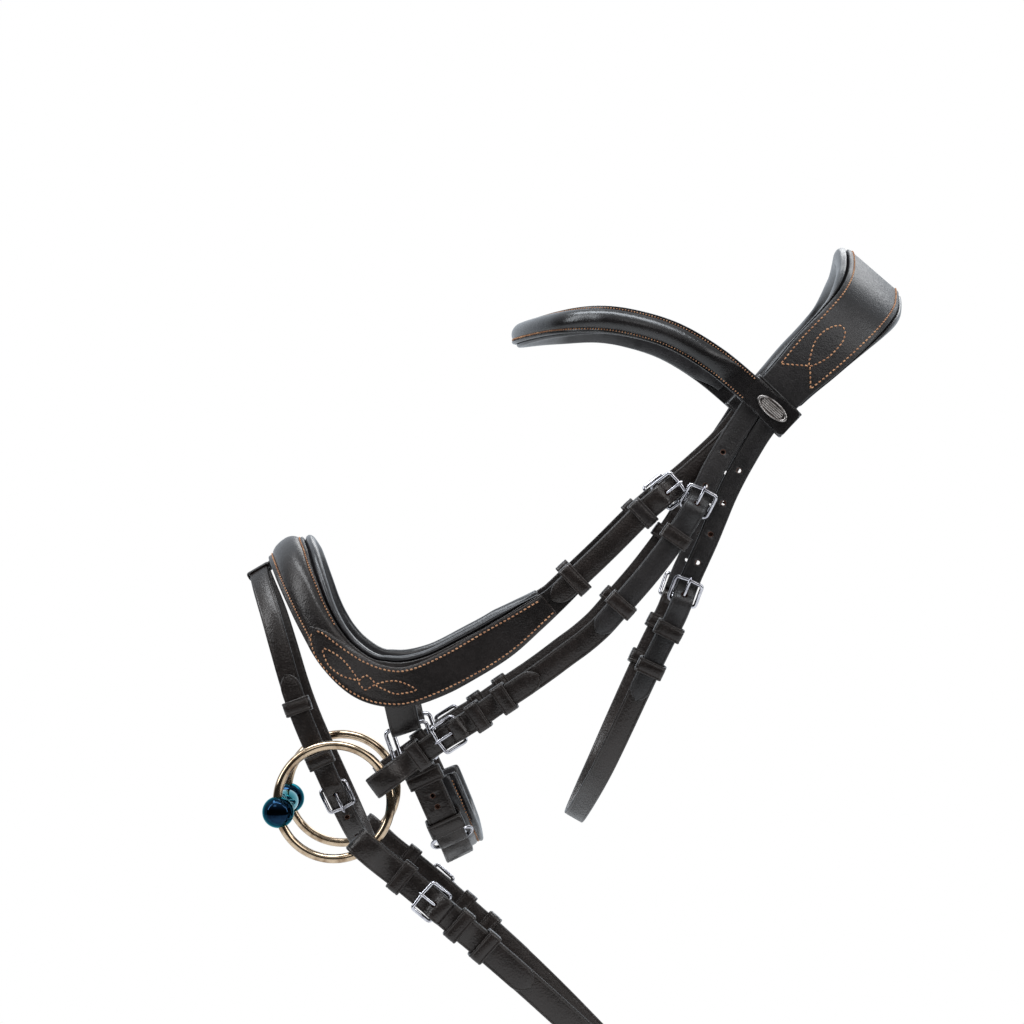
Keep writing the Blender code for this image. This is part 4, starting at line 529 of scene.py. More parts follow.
# Name, place, target, size, power and colour of each light
LIGHTS = (
    ("top_light", (-0.45, -0.30, 1.1), MIDDLE, (1.6, 0.35), 17, (0.88, 0.94, 1.0)),
    ("crown_light", (1.1, -1.9, 1.05), (0.0, 0.0, -0.05), (1.1, 0.9), 7, (1.0, 0.98, 0.98)),
    ("left_light", (-1.5, -0.55, 0.55), MIDDLE, (0.4, 1.1), 9, (0.90, 0.95, 1.0)),
    ("right_light", (1.4, -0.75, 0.35), MIDDLE, (0.4, 1.2), 8, (0.93, 0.97, 1.0)),
    ("front_light", (-0.9, -2.4, 0.9), MIDDLE, (0.5, 0.5), 1.5, (1, 1, 1)),
    ("back_light", (0.3, 1.4, 0.9), MIDDLE, (1.2, 0.6), 7, (1, 1, 1)),
)

# What metal and leather mirror: a pale backdrop behind, and a sky from straight down (0) to straight up (1)
BACKDROP, BACKDROP_SPAN = (0.80, 0.87, 0.95), (0.05, 0.75)
SKY_TINT = (0.93, 0.97, 1.0)
SKY = ((0.0, 0.30), (0.30, 0.14), (0.46, 0.035), (0.56, 0.03), (0.66, 0.16), (0.82, 0.62), (1.0, 0.50))


def make_light():
    """The studio's lights, and a sky that is dark at eye level, pale behind and white to the camera."""
    for row in LIGHTS:
        area_light(*row)
    world = bpy.data.worlds.new("studio")
    bpy.context.scene.world = world
    bpy.context.scene.view_settings.view_transform = "Standard"
    world.use_nodes = True
    world.node_tree.nodes.clear()
    studio = Nodes(world.node_tree)
    way = studio.node("ShaderNodeSeparateXYZ", i0=studio.node("ShaderNodeTexCoord").outputs["Generated"])
    height = studio.node("ShaderNodeMapRange", Value=way.outputs["Z"], i1=-1.0)
    sky = studio.node("ShaderNodeValToRGB", i0=height.outputs[0])
    for number, (stop, value) in enumerate(SKY):
        element = sky.color_ramp.elements[number] if number < 2 else sky.color_ramp.elements.new(stop)
        element.position = stop
        element.color = (*(value * tint for tint in SKY_TINT), 1)
    low, high = BACKDROP_SPAN
    smooth = {"interpolation_type": "SMOOTHSTEP"}
    behind = studio.node("ShaderNodeMapRange", smooth, Value=way.outputs["Y"], i1=low, i2=high)
    around = studio.blended(sky.outputs["Color"], BACKDROP, behind.outputs[0])
    shine = studio.node("ShaderNodeBackground", Color=around).outputs[0]
    white = studio.node("ShaderNodeBackground", Color=(1.0, 1.0, 1.0)).outputs[0]
    seen_by = studio.node("ShaderNodeLightPath").outputs["Is Camera Ray"]
    mix = studio.node("ShaderNodeMixShader", Fac=seen_by, i1=shine, i2=white).outputs[0]
    studio.node("ShaderNodeOutputWorld", Surface=mix)


FLOOR_RADIUS, FLOOR_PLACE = 2.6, (-0.2, 0, -0.85)


def make_floor():
    """A round pale floor under the bridle."""
    work = bmesh.new()
    bmesh.ops.create_circle(work, cap_ends=True, segments=96, radius=FLOOR_RADIUS)
    mesh = bpy.data.meshes.new("floor")
    work.to_mesh(mesh)
    work.free()
    floor = linked("floor", mesh)
    floor.location = FLOOR_PLACE
    mesh.materials.append(Finish("pale_floor", Base_Color=(0.86, 0.86, 0.86), Roughness=0.8).material)


# Finishes

PLAIN = (1.0, 1.0, 1.0)
CLOUD_SIZE, WEAR_SIZE, EDGE_RADIUS, TONES = 0.030, 0.004, 0.0007, (0.62, 1.45)


class Number:
    """A number that varies over a surface. Sums and products with it add the Math nodes."""

    def __init__(self, finish, socket):
        self.finish, self.socket = finish, socket

    def __add__(self, other):
        return self.finish.math("ADD", self, other)

    def __radd__(self, other):
        return self.finish.math("ADD", other, self)

    def __sub__(self, other):
        return self.finish.math("SUBTRACT", self, other)

    def __rsub__(self, other):
        return self.finish.math("SUBTRACT", other, self)

    def __mul__(self, other):
        return self.finish.math("MULTIPLY", self, other)

    def __rmul__(self, other):
        return self.finish.math("MULTIPLY", other, self)


class Nodes:
    """A node tree that shader nodes are added to."""

    def __init__(self, tree):
        self.tree = tree

    def put(self, socket, value):
        """Sets or links a socket."""
        if isinstance(value, Number):
            value = value.socket
        if isinstance(value, bpy.types.NodeSocket):
            self.tree.links.new(value, socket)
        elif isinstance(value, tuple) and socket.type == "RGBA":
            socket.default_value = (*value, 1.0)
        else:
            socket.default_value = value

    def node(self, kind, settings=None, **sockets):
        """A new node. A socket called i1 goes by its number, any other by its name."""
        made = self.tree.nodes.new(kind)
        for name, value in (settings or {}).items():
            setattr(made, name, value)
        for name, value in sockets.items():
            key = int(name[1:]) if name[1:].isdigit() else name.replace("_", " ")
            self.put(made.inputs[key], value)
        return made

    def blended(self, a, b, share):
        """Colour a turned into colour b by a share."""
        return self.node("ShaderNodeMix", {"data_type": "RGBA"}, i0=share, i6=a, i7=b).outputs[2]


class Finish(Nodes):
    """One material, with the nodes that its surface detail comes from."""

    def __init__(self, name, **constants):
        self.material = bpy.data.materials.new(name)
        self.material.use_nodes = True
        super().__init__(self.material.node_tree)
        self.shader = self.tree.nodes["Principled BSDF"]
        self.set(**constants)
        self.place = self.node("ShaderNodeTexCoord").outputs["Object"]

    def set(self, **sockets):
        """Sets or links sockets of the shader."""
        for name, value in sockets.items():
            self.put(self.shader.inputs[name.replace("_", " ")], value)

    def math(self, operation, a, b):
        return Number(self, self.node("ShaderNodeMath", {"operation": operation}, i0=a, i1=b).outputs[0])

    def noise(self, size, detail=3.0, roughness=0.5, place=None):
        """Clouds of about this size, in metres."""
        sockets = {"Vector": place or self.place, "Scale": 1 / size, "Detail": detail, "Roughness": roughness}
        return Number(self, self.node("ShaderNodeTexNoise", **sockets).outputs["Fac"])

    def cells(self, size):
        """Distance to the nearest of scattered points about this far apart, in metres."""
        made = self.node("ShaderNodeTexVoronoi", Vector=self.place, Scale=1 / size)
        return Number(self, made.outputs["Distance"])

    def clamped(self, value, low, high):
        """0 below low, 1 above high, smooth between."""
        settings = {"interpolation_type": "SMOOTHSTEP"}
        made = self.node("ShaderNodeMapRange", settings, Value=value, i1=low, i2=high)
        return Number(self, made.outputs["Result"])

    def edges(self, radius):
        """1 on sharp edges, 0 elsewhere, and the normal rounded over them."""
        rounded = self.node("ShaderNodeBevel", {"samples": 4}, Radius=radius).outputs["Normal"]
        flat = self.node("ShaderNodeNewGeometry").outputs["Normal"]
        dot = self.node("ShaderNodeVectorMath", {"operation": "DOT_PRODUCT"}, i0=rounded, i1=flat)
        return self.clamped(1 - Number(self, dot.outputs["Value"]), 0.01, 0.14), rounded

    def raised(self, height, distance, strength=1.0, **normal):
        """Bump of this height, in metres, over the shader's normal or another one."""
        bump = self.node("ShaderNodeBump", Height=height, Distance=distance, Strength=strength, **normal)
        self.set(Normal=bump.outputs["Normal"])


def leather_finish(name, colour, grain, roughness, depth, coat, shine=PLAIN):
    """Oiled leather: pebbled grain, soft creases, cloudy colour, and lighter worn edges."""
    finish = Finish(name, Specular_IOR_Level=0.5, Coat_Roughness=0.25, Sheen_Weight=0.02, Sheen_Roughness=0.4)
    pebbles = finish.cells(grain)
    creases = finish.noise(grain * 3.2, 4, 0.62)
    clouds = finish.noise(CLOUD_SIZE, 3, 0.55)
    pores = finish.clamped(finish.cells(grain * 2.4), 0.0, 0.25)
    edge, rounded = finish.edges(EDGE_RADIUS)
    wear = edge * finish.clamped(finish.noise(WEAR_SIZE, 2), 0.30, 0.62)
    dark, light = (tuple(share * c for c in colour) for share in TONES)
    base = finish.blended(dark, light, finish.clamped(clouds * 0.6 + creases * 0.4, 0.34, 0.66))
    finish.set(
        Specular_Tint=shine,
        Base_Color=finish.blended(base, WORN, wear * 0.55),
        Roughness=roughness - 0.10 + 0.16 * creases + 0.08 * clouds - 0.06 * edge,
        Coat_Weight=finish.clamped(clouds, 0.25, 0.75) * coat + 0.5 * coat,
    )
    finish.raised(pebbles * 0.55 + creases * 1.2 + pores * 0.4, depth, Normal=rounded)
    return finish.material


def metal_finish(name, colour, dark, roughness, scratches, brushed=0.0, painted_shade_span=(0.40, 0.49), rim=PLAIN):
    """Polished metal with faint clouds, scratches, fine polishing marks, and painted shade darkening its
    hollows.
    """
    finish = Finish(name, Metallic=1.0, Specular_Tint=rim)
    clouds = finish.noise(0.006, 3, 0.6)
    stretched = finish.node("ShaderNodeMapping", Vector=finish.place, Scale=(1.0, 0.12, 1.0))
    marks = finish.noise(1 / 2600, 2.0, place=stretched.outputs["Vector"])
    bare = finish.blended(colour, dark, finish.clamped(clouds, 0.42, 0.75))
    # Hollow places, where the pointiness is low, turn to the dark colour: painted shade in the hollows.
    bent = Number(finish, finish.node("ShaderNodeNewGeometry").outputs["Pointiness"])
    finish.set(
        Base_Color=finish.blended(dark, bare, finish.clamped(bent, *painted_shade_span)),
        Roughness=roughness + scratches * clouds + brushed * marks,
    )
    finish.raised(marks * 0.6 + clouds * 0.4, 0.000012, 0.5)
    return finish.material


def thread_finish(name, colour, light):
    """Waxed linen thread with its twist."""
    finish = Finish(name, Roughness=0.62, Sheen_Weight=0.25)
    twist = finish.noise(0.0006, 2)
    shade = finish.noise(0.006, 2)
    finish.set(Base_Color=finish.blended(colour, light, finish.clamped(shade, 0.35, 0.7)))
    finish.raised(twist, 0.00012, 0.8)
    return finish.material


def hole_finish():
    """The raw inside of cut leather."""
    finish = Finish("raw_hole", Roughness=0.8)
    shade = finish.noise(0.0008, 2)
    finish.set(Base_Color=finish.blended((0.035, 0.016, 0.010), (0.14, 0.055, 0.03), shade))
    return finish.material


LOOKS = {}
WORN, WARM = (0.050, 0.032, 0.025), (1.0, 0.94, 0.90)

# Look, material, colour, size of the grain, roughness, height of the grain, coat, and tint of the shine
LEATHERS = (
    ("leather", "bridle_leather", (0.0068, 0.0050, 0.0048), 0.0011, 0.32, 0.00018, 0.09, WARM),
    ("brow", "browband_finish", (0.0085, 0.0070, 0.0070), 0.0011, 0.24, 0.00010, 0.30),
    # The crown's colour is a lighter copy of the bridle leather's: painted light for the light that falls on
    # the crown piece.
    ("crown", "crown_leather_finish", (0.0105, 0.0084, 0.0082), 0.0011, 0.38, 0.00018, 0.06),
    ("padding", "soft_padding", (0.0125, 0.0110, 0.0118), 0.0009, 0.30, 0.00010, 0.30),
    ("strap", "strap_leather", (0.0080, 0.0050, 0.0042), 0.0013, 0.32, 0.00024, 0.09, WARM),
    ("keeper", "keeper_leather", (0.0100, 0.0066, 0.0056), 0.0010, 0.28, 0.00014, 0.12, WARM),
)

# Look, material, colour, darker colour for the clouds and for the painted shade in the hollows, roughness,
# scratches, brushing, and span of the painted shade in the hollows
METALS = (
    ("steel", "polished_steel", (0.58, 0.57, 0.60), (0.25, 0.24, 0.27), 0.08, 0.06),
    ("bronze", "bronze", (0.56, 0.43, 0.30), (0.26, 0.17, 0.105), 0.07, 0.03, 0.03),
    ("pewter", "pewter", (0.44, 0.41, 0.39), (0.085, 0.066, 0.060), 0.22, 0.12, 0.0, (0.44, 0.53)),
)


def make_finishes():
    for key, *row in LEATHERS:
        LOOKS[key] = leather_finish(*row)
    for key, *row in METALS:
        LOOKS[key] = metal_finish(*row)
    blue, dark_blue = (0.010, 0.028, 0.060), (0.004, 0.008, 0.020)
    LOOKS["blue_steel"] = metal_finish("blued_steel", blue, dark_blue, 0.03, 0.03, rim=(0.5, 0.95, 1.0))
    LOOKS["thread"] = thread_finish("copper_thread", (0.34, 0.140, 0.055), (0.56, 0.28, 0.13))
    LOOKS["hole"] = hole_finish()


def surface(piece):
    """What rays are cast at: the faces of a piece."""
    vertices = [piece.matrix_world @ v.co for v in piece.data.vertices]
    return BVHTree.FromPolygons(vertices, [list(face.vertices) for face in piece.data.polygons])


# Shells and meshes


class Shell:
    """Skins that grow into one piece, and the cutters that are taken away from it."""

    def __init__(self, cutters=()):
        self.vertices, self.faces, self.cutters = [], [], list(cutters)

    def add(self, rings, closed=False):
        """A skin over rings of points, closed round or capped at both ends."""
        first, count, total = len(self.vertices), len(rings[0]), len(rings)
        for ring in rings:
            self.vertices += ring
        for i in range(total if closed else total - 1):
            a, b = first + i * count, first + (i + 1) % total * count
            for k in range(count):
                m = (k + 1) % count
                self.faces.append((a + k, a + m, b + m, b + k))
        if not closed:
            self.faces.append(tuple(first + k for k in reversed(range(count))))
            self.faces.append(tuple(first + (total - 1) * count + k for k in range(count)))
        return self

    def cut(self, *cutters):
        self.cutters += cutters
        return self

    def mirrored(self):
        """Its mirror image on the far side."""
        other = Shell(cutter.mirrored() for cutter in self.cutters)
        other.vertices = [v * FLIP for v in self.vertices]
        other.faces = [tuple(reversed(face)) for face in self.faces]
        return other

    def mesh(self, name, look):
        """A mesh of its skins, with their faces turned outwards."""
        mesh = bpy.data.meshes.new(name)
        mesh.from_pydata([tuple(v) for v in self.vertices], [], self.faces)
        mesh.update()
        work = bmesh.new()
        work.from_mesh(mesh)
        bmesh.ops.recalc_face_normals(work, faces=work.faces)
        work.to_mesh(mesh)
        work.free()
        mesh.materials.append(LOOKS[look])
        return mesh


def bend(radius, angles, centre=(0.0, 0.0)):
    """Points on a round bend at these angles, in degrees."""
    turns = [math.radians(a) for a in angles]
    return [(centre[0] + radius * math.cos(a), centre[1] + radius * math.sin(a)) for a in turns]


def arc(radius, start, end, step, centre=(0.0, 0.0)):
    """A round bend in even steps."""
    count = max(1, round(abs(end - start) / step))
    return bend(radius, [start + (end - start) * k / count for k in range(count + 1)], centre)


def circle(sides):
    """Even turns once round, as cosine and sine."""
    turns = [2 * math.pi * k / sides for k in range(sides)]
    return [(math.cos(a), math.sin(a)) for a in turns]


def square_to(axis):
    """The axis at length 1, and two directions that are square to it and to each other."""
    axis = axis.normalized()
    first = axis.orthogonal().normalized()
    return axis, first, axis.cross(first)


def neighbours(items, k, closed=False):
    """The items before and after one, going round where the row is closed."""
    if closed:
        return items[k - 1], items[(k + 1) % len(items)]
    return items[max(k - 1, 0)], items[min(k + 1, len(items) - 1)]


def over_middle(rings):
    """Near rings that end on the middle plane, and on to the far side."""
    return rings + [[p * FLIP for p in ring] for ring in reversed(rings[:-1])]


def threaded(points, step=FINE_STEP, closed=False):
    """A smooth curve through points that may be unevenly spaced, as places with their number."""
    total = len(points)
    spans = total if closed else total - 1
    gaps = [max((points[(i + 1) % total] - points[i]).length, 1e-7) for i in range(spans)]

    def slope(i):
        if not closed and i == 0:
            return (points[1] - points[0]) / gaps[0]
        if not closed and i == total - 1:
            return (points[i] - points[i - 1]) / gaps[i - 1]
        before, after = gaps[i - 1], gaps[i % spans]
        back, ahead = (points[i] - points[i - 1]) / before, (points[(i + 1) % total] - points[i]) / after
        return (back * after + ahead * before) / (before + after)

    found = []
    for i, gap in enumerate(gaps):
        j = (i + 1) % total
        a, b, u, v = points[i], points[j], slope(i) * gap, slope(j) * gap
        count = max(2, math.ceil(gap / step))
        for k in range(count):
            t = k / count
            h = (2 * t**3 - 3 * t**2 + 1, t**3 - 2 * t**2 + t, 3 * t**2 - 2 * t**3, t**3 - t**2)
            found.append((a * h[0] + u * h[1] + b * h[2] + v * h[3], i + t))
    if not closed:
        found.append((points[-1], total - 1))
    return found


def rail_on(line, path, shift=0.0):
    """Places and across directions along (s, n) places of a line."""
    return [(line.at(s, n, shift), line.frame(s)[3]) for s, n in path]


def fine_rail(rail):
    """The same rail in short steps, as (place, across, up)."""
    places = threaded([place for place, _ in rail])
    found = []
    for k, (place, number) in enumerate(places):
        i, t = int(number), number - int(number)
        across = rail[i][1].lerp(rail[min(i + 1, len(rail) - 1)][1], t).normalized()
        (before, _), (after, _) = neighbours(places, k)
        found.append((place, across, across.cross(after - before).normalized()))
    return found


def strap_outline(half, thickness, creases=True):
    """Rounded leather edges, and a pressed crease beside each of them, as (across, up) points."""
    top, corner = thickness / 2, min(thickness * CORNER_SHARE, half * 0.5)
    edge = arc(corner, 0, 90, 30, (half - corner, top - corner))
    if creases:
        crease = min(CREASE, half * 0.45)
        for place, depth in ((0.72, 0.0), (1.0, CREASE_DEPTH), (1.28, 0.0)):
            edge.append((half - crease * place, top - depth))
    right = list(reversed(edge)) + [(w, -n) for w, n in edge]
    return right + [(-w, n) for w, n in reversed(right)]


TIP_STEPS, TIP_TURN, TIP_BLUNT = 10, 9.6, 0.14


def strap(rail, width, thickness=LEATHER, tip=False, creases=True):
    """A strap of leather along a rail. Its end may be cut to a rounded point."""
    fine = fine_rail(rail)
    lengths = [0.0]
    for (a, _, _), (b, _, _) in zip(fine, fine[1:]):
        lengths.append(lengths[-1] + (b - a).length)
    stops, total = list(zip(lengths, fine)), lengths[-1]
    if tip:
        stops = [stop for stop in stops if stop[0] < total - TIP - FINE_STEP / 2]
        for k in range(TIP_STEPS):
            reach = total - TIP * (1 - math.sin(math.radians(k * TIP_TURN)))
            i = max(j for j in range(len(lengths) - 1) if lengths[j] <= reach)
            t = (reach - lengths[i]) / (lengths[i + 1] - lengths[i])
            stops.append((reach, tuple(a.lerp(b, t) for a, b in zip(fine[i], fine[i + 1]))))
    rings = []
    for length, (place, across, up) in stops:
        half = width / 2
        if tip:
            share = max(0.0, 1 - (total - length) / TIP)
            half *= max(TIP_BLUNT, (1 - share**2.2) ** ARCH_POWER)
        rings.append([place + across * w + up * n for w, n in strap_outline(half, thickness, creases)])
    return Shell().add(rings)


def keeper(line, s, heights, width, length=KEEPER_LENGTH, thickness=KEEPER_LEATHER, shift=0.0, bent=False):
    """A sleeve of leather round straps. heights are the lower and upper one of its clear inside."""
    half, grow, corner = width / 2 + ROOM, thickness / 2, thickness * 1.1
    side, bottom, top = half + grow, heights[0] - grow, heights[1] + grow
    around = []
    for w, n, start in ((side, top, 0), (-side, top, 90), (-side, bottom, 180), (side, bottom, 270)):
        middle = (w - math.copysign(corner, w), n - (corner if n == top else -corner))
        for way_w, way_n in bend(1.0, [start + 22.5 * k for k in range(5)]):
            around.append((middle[0] + corner * way_w, middle[1] + corner * way_n, way_w, way_n))
    place, along, normal, side_way = line.frame(s)
    rings = []
    for w, n, way_w, way_n in around:
        ring = []
        for u, h in strap_outline(length / 2, thickness):
            across, out = shift + w + way_w * h, n + way_n * h
            flat = place + along * u + normal * out + side_way * across
            ring.append(bent_at(line, s + u, out, across) if bent else flat)
        rings.append(ring)
    return Shell().add(rings, closed=True)


def bent_at(line, s, n, w):
    """A place on a line, and on its mirror image before a start on the middle plane."""
    return line.at(-s, n, w) * FLIP if s < 0 and line.opens else line.at(s, n, w)


WIRE_STEP = 0.0011


def wire(places, radius, reference, closed=False, sides=14, thin=lambda share: 1.0):
    """A round wire through places. reference is roughly square to its way everywhere."""
    fine = threaded(places, WIRE_STEP, closed)
    rings = []
    for k, (place, _) in enumerate(fine):
        (before, _), (after, _) = neighbours(fine, k, closed)
        way = (after - before).normalized()
        up = (reference - way * reference.dot(way)).normalized()
        side = way.cross(up)
        size = radius * thin(k / (len(fine) - 1))
        rings.append([place + (up * c + side * s) * size for c, s in circle(sides)])
    return Shell().add(rings, closed)


def hoop(centre, axis, radius, wire_radius, count, sides):
    """A ring of round wire."""
    axis, first, second = square_to(axis)
    rings = []
    for c, s in circle(count):
        out = first * c + second * s
        middle = centre + out * radius
        rings.append([middle + (out * u + axis * v) * wire_radius for u, v in circle(sides)])
    return Shell().add(rings, closed=True)


def lathe(centre, axis, profile, sides, closed=False):
    """A turned shape: (radius, place along the axis) points."""
    axis, first, second = square_to(axis)
    rings = []
    for radius, along in profile:
        radius = max(radius, 0.00002)
        rings.append([centre + axis * along + (first * c + second * s) * radius for c, s in circle(sides)])
    return Shell().add(rings, closed)


def cut_mesh(mesh, cutters):
    """The mesh with these shells taken away. The cut leather shows its raw inside."""
    made = linked("cut", mesh)
    tools = []
    for cutter in cutters:
        tools.append(linked("cutter", cutter.mesh("cutter", "hole")))
        difference = made.modifiers.new("Cut", "BOOLEAN")
        difference.operation, difference.solver, difference.object = "DIFFERENCE", "EXACT", tools[-1]
        difference.material_mode = "TRANSFER"
    bpy.context.view_layer.update()
    graph = bpy.context.evaluated_depsgraph_get()
    result = bpy.data.meshes.new_from_object(made.evaluated_get(graph), depsgraph=graph)
    for obj in [made] + tools:
        bpy.data.objects.remove(obj)
    return result


SHARP_ANGLE = 46


def whole(name, shells, look, raw="hole"):
    """One mesh from shells with their cutters taken away. The cut faces have the look raw."""
    work = bmesh.new()
    looks = [look]
    for shell in shells:
        mesh = shell.mesh(name, look)
        if shell.cutters:
            looks = [look, raw]
            mesh = cut_mesh(mesh, shell.cutters)
            cut_slots = [slot == LOOKS["hole"] for slot in mesh.materials]
            for face in mesh.polygons:
                face.material_index = int(cut_slots[face.material_index])
        work.from_mesh(mesh)
    mesh = bpy.data.meshes.new(name)
    work.to_mesh(mesh)
    work.free()
    for one in looks:
        mesh.materials.append(LOOKS[one])
    mesh.shade_smooth()
    mesh.set_sharp_from_angle(angle=math.radians(SHARP_ANGLE))
    return mesh


def stand_in(mesh, node, look, name=None):
    """Puts a mesh in a node's stead, on the node's body."""
    made = linked(name or node + "_visual", mesh)
    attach(made, body_of(NODES[node])[0])
    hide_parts(node)
    return made


def stand_in_one(node, shells, look, name=None):
    return stand_in(whole(node, shells, look), node, look, name)


def stand_in_pair(stem, shells, look, raw="hole"):
    """The near and the far one of a paired node."""
    mesh = whole(stem, shells, look, raw)
    other = mesh.copy()
    other.transform(Matrix.Diagonal((1, -1, 1, 1)))
    other.flip_normals()
    stand_in(mesh, stem + "_left", look)
    stand_in(other, stem + "_right", look)


def both_sides(*shells):
    """Shells and their mirror images."""
    return list(shells) + [shell.mirrored() for shell in shells]


# Buckles


def run(start, end, n=0.0, step=STEP):
    """Evenly spaced (s, n) places along a stretch at one height."""
    count = max(1, round(abs(end - start) / step))
    return [(start + (end - start) * k / count, n) for k in range(count + 1)]


def fold_path(bar, angles, tail):
    """A strap's end folded round a bar: out over it and back behind, as (along, up) places."""
    loop = BAR + GAP + LEATHER / 2
    lead = [(-2.2 * loop, 0.0), (-1.5 * loop, 0.08 * loop), (-0.8 * loop, 0.32 * loop)]
    back = [(u, 2 * bar - n) for u, n in reversed(lead)]
    return lead + bend(loop, angles, (0, bar)) + back + tail


class Station:
    """A buckle on a line: its pivot bar's place, which way its outer bar lies, and its height.

    u runs along the strap from the pivot bar to the outer bar, n out from the strap's own line.
    An end buckle sits in the fold of a strap's end. A riding buckle sits on a strap that runs on.
    """

    def __init__(self, line, pixels, sign, width, riding=False):
        self.line, self.sign, self.width, self.riding = line, sign, width, riding
        self.place = line.near(*pixels)
        self.bar = LEATHER / 2 + GAP + BAR if riding else -LAYER / 2
        self.wrap = CHAPE if riding else LEATHER
        self.over = BAR + ROOM + self.wrap + GAP + LEATHER / 2
        self.far = LAYER * 1.15 if riding else 0.0
        self.on_chape = LEATHER / 2 + CHAPE - SEWN + GAP + LEATHER / 2 if riding else LAYER
        self.outer = self.far + LEATHER / 2 + GAP + BAR
        self.up, self.across = line.frame(self.place)[2:]

    def s(self, u):
        return self.place + self.sign * u

    def at(self, u, n, w=0.0):
        return self.line.at(self.s(u), n, w)

    def on_line(self, path):
        """The (s, n) places of (u, n) ones."""
        return [(self.s(u), n) for u, n in path]

    def eye_path(self):
        """The fold of an end buckle, from its tail up to the strap that it ends."""
        angles, tail = (90, 60, 30, 0, -30, -60, -90), [(-0.5 * FOLD, -LAYER), (-FOLD, -LAYER)]
        return self.on_line(fold_path(self.bar, angles, tail))[::-1]

    def arch_path(self):
        """The short strap that holds a riding buckle's bar down, sewn on at both ends."""
        arch, flat = BAR + ROOM + CHAPE / 2, LEATHER / 2 + CHAPE / 2 - SEWN
        path = [(-FOLD * 0.8, flat), (-1.9 * arch, flat), (-1.2 * arch, self.bar)]
        path += bend(arch, (150, 120, 90, 60, 30), (0, self.bar))
        return self.on_line(path + [(1.2 * arch, self.bar), (1.9 * arch, flat), (FOLD * 0.32, flat)])

    def billet_path(self):
        """The way of the billet through the buckle, from beyond the outer bar to on top of the strap."""
        over, rise = self.over, self.bar
        path = [(BUCKLE_REACH, self.far), (1.6 * over, self.far)]
        if not self.riding:
            path += [(1.22 * over, self.far + 0.12 * over)]
        path += bend(over, (25, 58, 90) if self.riding else (32, 60, 90), (0, rise))
        path += [(-0.42 * over, rise + 0.94 * over)]
        path += [(-0.8 * over, self.on_chape + 0.08 * over), (-1.2 * over, self.on_chape)]
        if self.riding:
            path += [(-FOLD * 0.85, self.on_chape), (-FOLD * 1.1, LAYER)]
        return self.on_line(path)

    def slot(self):
        """A cutter that makes room in the strap's fold for the tongue's eye."""
        radius, half = BAR + GAP + self.wrap + GAP / 2, TONGUE + TONGUE_PLAY
        return lathe(self.at(0, self.bar), self.across, [(radius, -half), (radius, half)], 24)

    def tongue_points(self):
        """The tongue's wire: an eye round the bar, up through the billet, onto the outer bar."""
        rest = self.outer + BAR + GAP + TONGUE
        ring = bend(BAR + GAP + TONGUE, (-20, -60, -100, -140, -180, -220, -255, -285), (0, self.bar))
        climb = [(0.72 * self.over, self.bar + 0.72 * self.over)]
        climb += [(0.55 * BUCKLE_REACH, rest - 0.25 * self.over)]
        return ring + climb + [(BUCKLE_REACH, rest), (BUCKLE_REACH + 2 * BAR, rest - GAP)]

    def hole(self):
        """A cutter for the hole in the billet that the tongue comes through."""
        start, end = (self.at(*place) for place in self.tongue_points()[7:9])
        radius, reach = TONGUE + TONGUE_PLAY + GAP, (end - start).length
        return lathe(start, end - start, [(radius, 0.0), (radius, reach * 1.9)], 20)

    def frame_shell(self):
        """The frame: straight pivot bar, slanting sides, and a bowed outer bar, all rounded."""
        half, end = self.width / 2 + ROOM + BAR, BUCKLE_REACH
        rise = (self.outer - self.bar) / end
        corners = [(0.0, 2.1), (0.0, 1.6), (0.45, 0.4), (1.6, 0.0), (2.1, 0.0)]
        side = [(u * BAR, half - w * BAR) for u, w in corners]
        corners = [(2.1, 0.0), (1.6, 0.0), (0.42, 0.4), (0.0, 1.6), (0.0, 2.1)]
        side += [(end - u * BAR, half - w * BAR) for u, w in corners]
        outline = side + [(end + 0.3 * BAR, 0.0)] + [(u, -w) for u, w in reversed(side)] + [(0.0, 0.0)]
        places = [self.at(u, self.bar + rise * u, w) for u, w in outline]
        return wire(places, BAR, self.up, closed=True)

    def tongue_shell(self):
        """The tongue, drawn thinner towards its tip."""
        places = [self.at(u, n) for u, n in self.tongue_points()]
        return wire(places, TONGUE, self.across, thin=lambda t: 1.0 - 0.6 * (max(t - 0.93, 0.0) / 0.07) ** 2)

    def hardware(self, stem, put=stand_in_pair):
        """The frame and its tongue, on both sides unless put says otherwise."""
        put(stem + "_frame", [self.frame_shell()], "steel")
        put(stem + "_tongue", [self.tongue_shell()], "steel")

    def keeper_heights(self):
        """The clear inside of the sewn keeper beside the buckle."""
        back = LEATHER / 2 if self.riding else LAYER + LEATHER / 2
        return -back + SEWN, self.on_chape + LEATHER / 2 + KEEPER_ROOM

    def sewn_keeper(self, pixels, high=None):
        """A keeper that is sewn on the strap."""
        low, top = self.keeper_heights()
        return keeper(self.line, self.line.near(*pixels), (low, high or top), self.width)

    def low_keeper(self, pixels):
        """A sewn keeper over two layers of strap, away from the buckle."""
        return self.sewn_keeper(pixels, LAYER + LEATHER / 2 + KEEPER_ROOM)

    def arch_strap(self):
        """The short strap that a riding buckle is sewn on with."""
        return strap(rail_on(self.line, self.arch_path()), self.width, CHAPE)

    def runner(self, pixels, width=None):
        """A loose keeper round a strap and the billet on it."""
        slide = KEEPER_ROOM + GAP / 2 + LEATHER / 2
        return keeper(self.line, self.line.near(*pixels), (-slide, LAYER + slide), width or self.width)


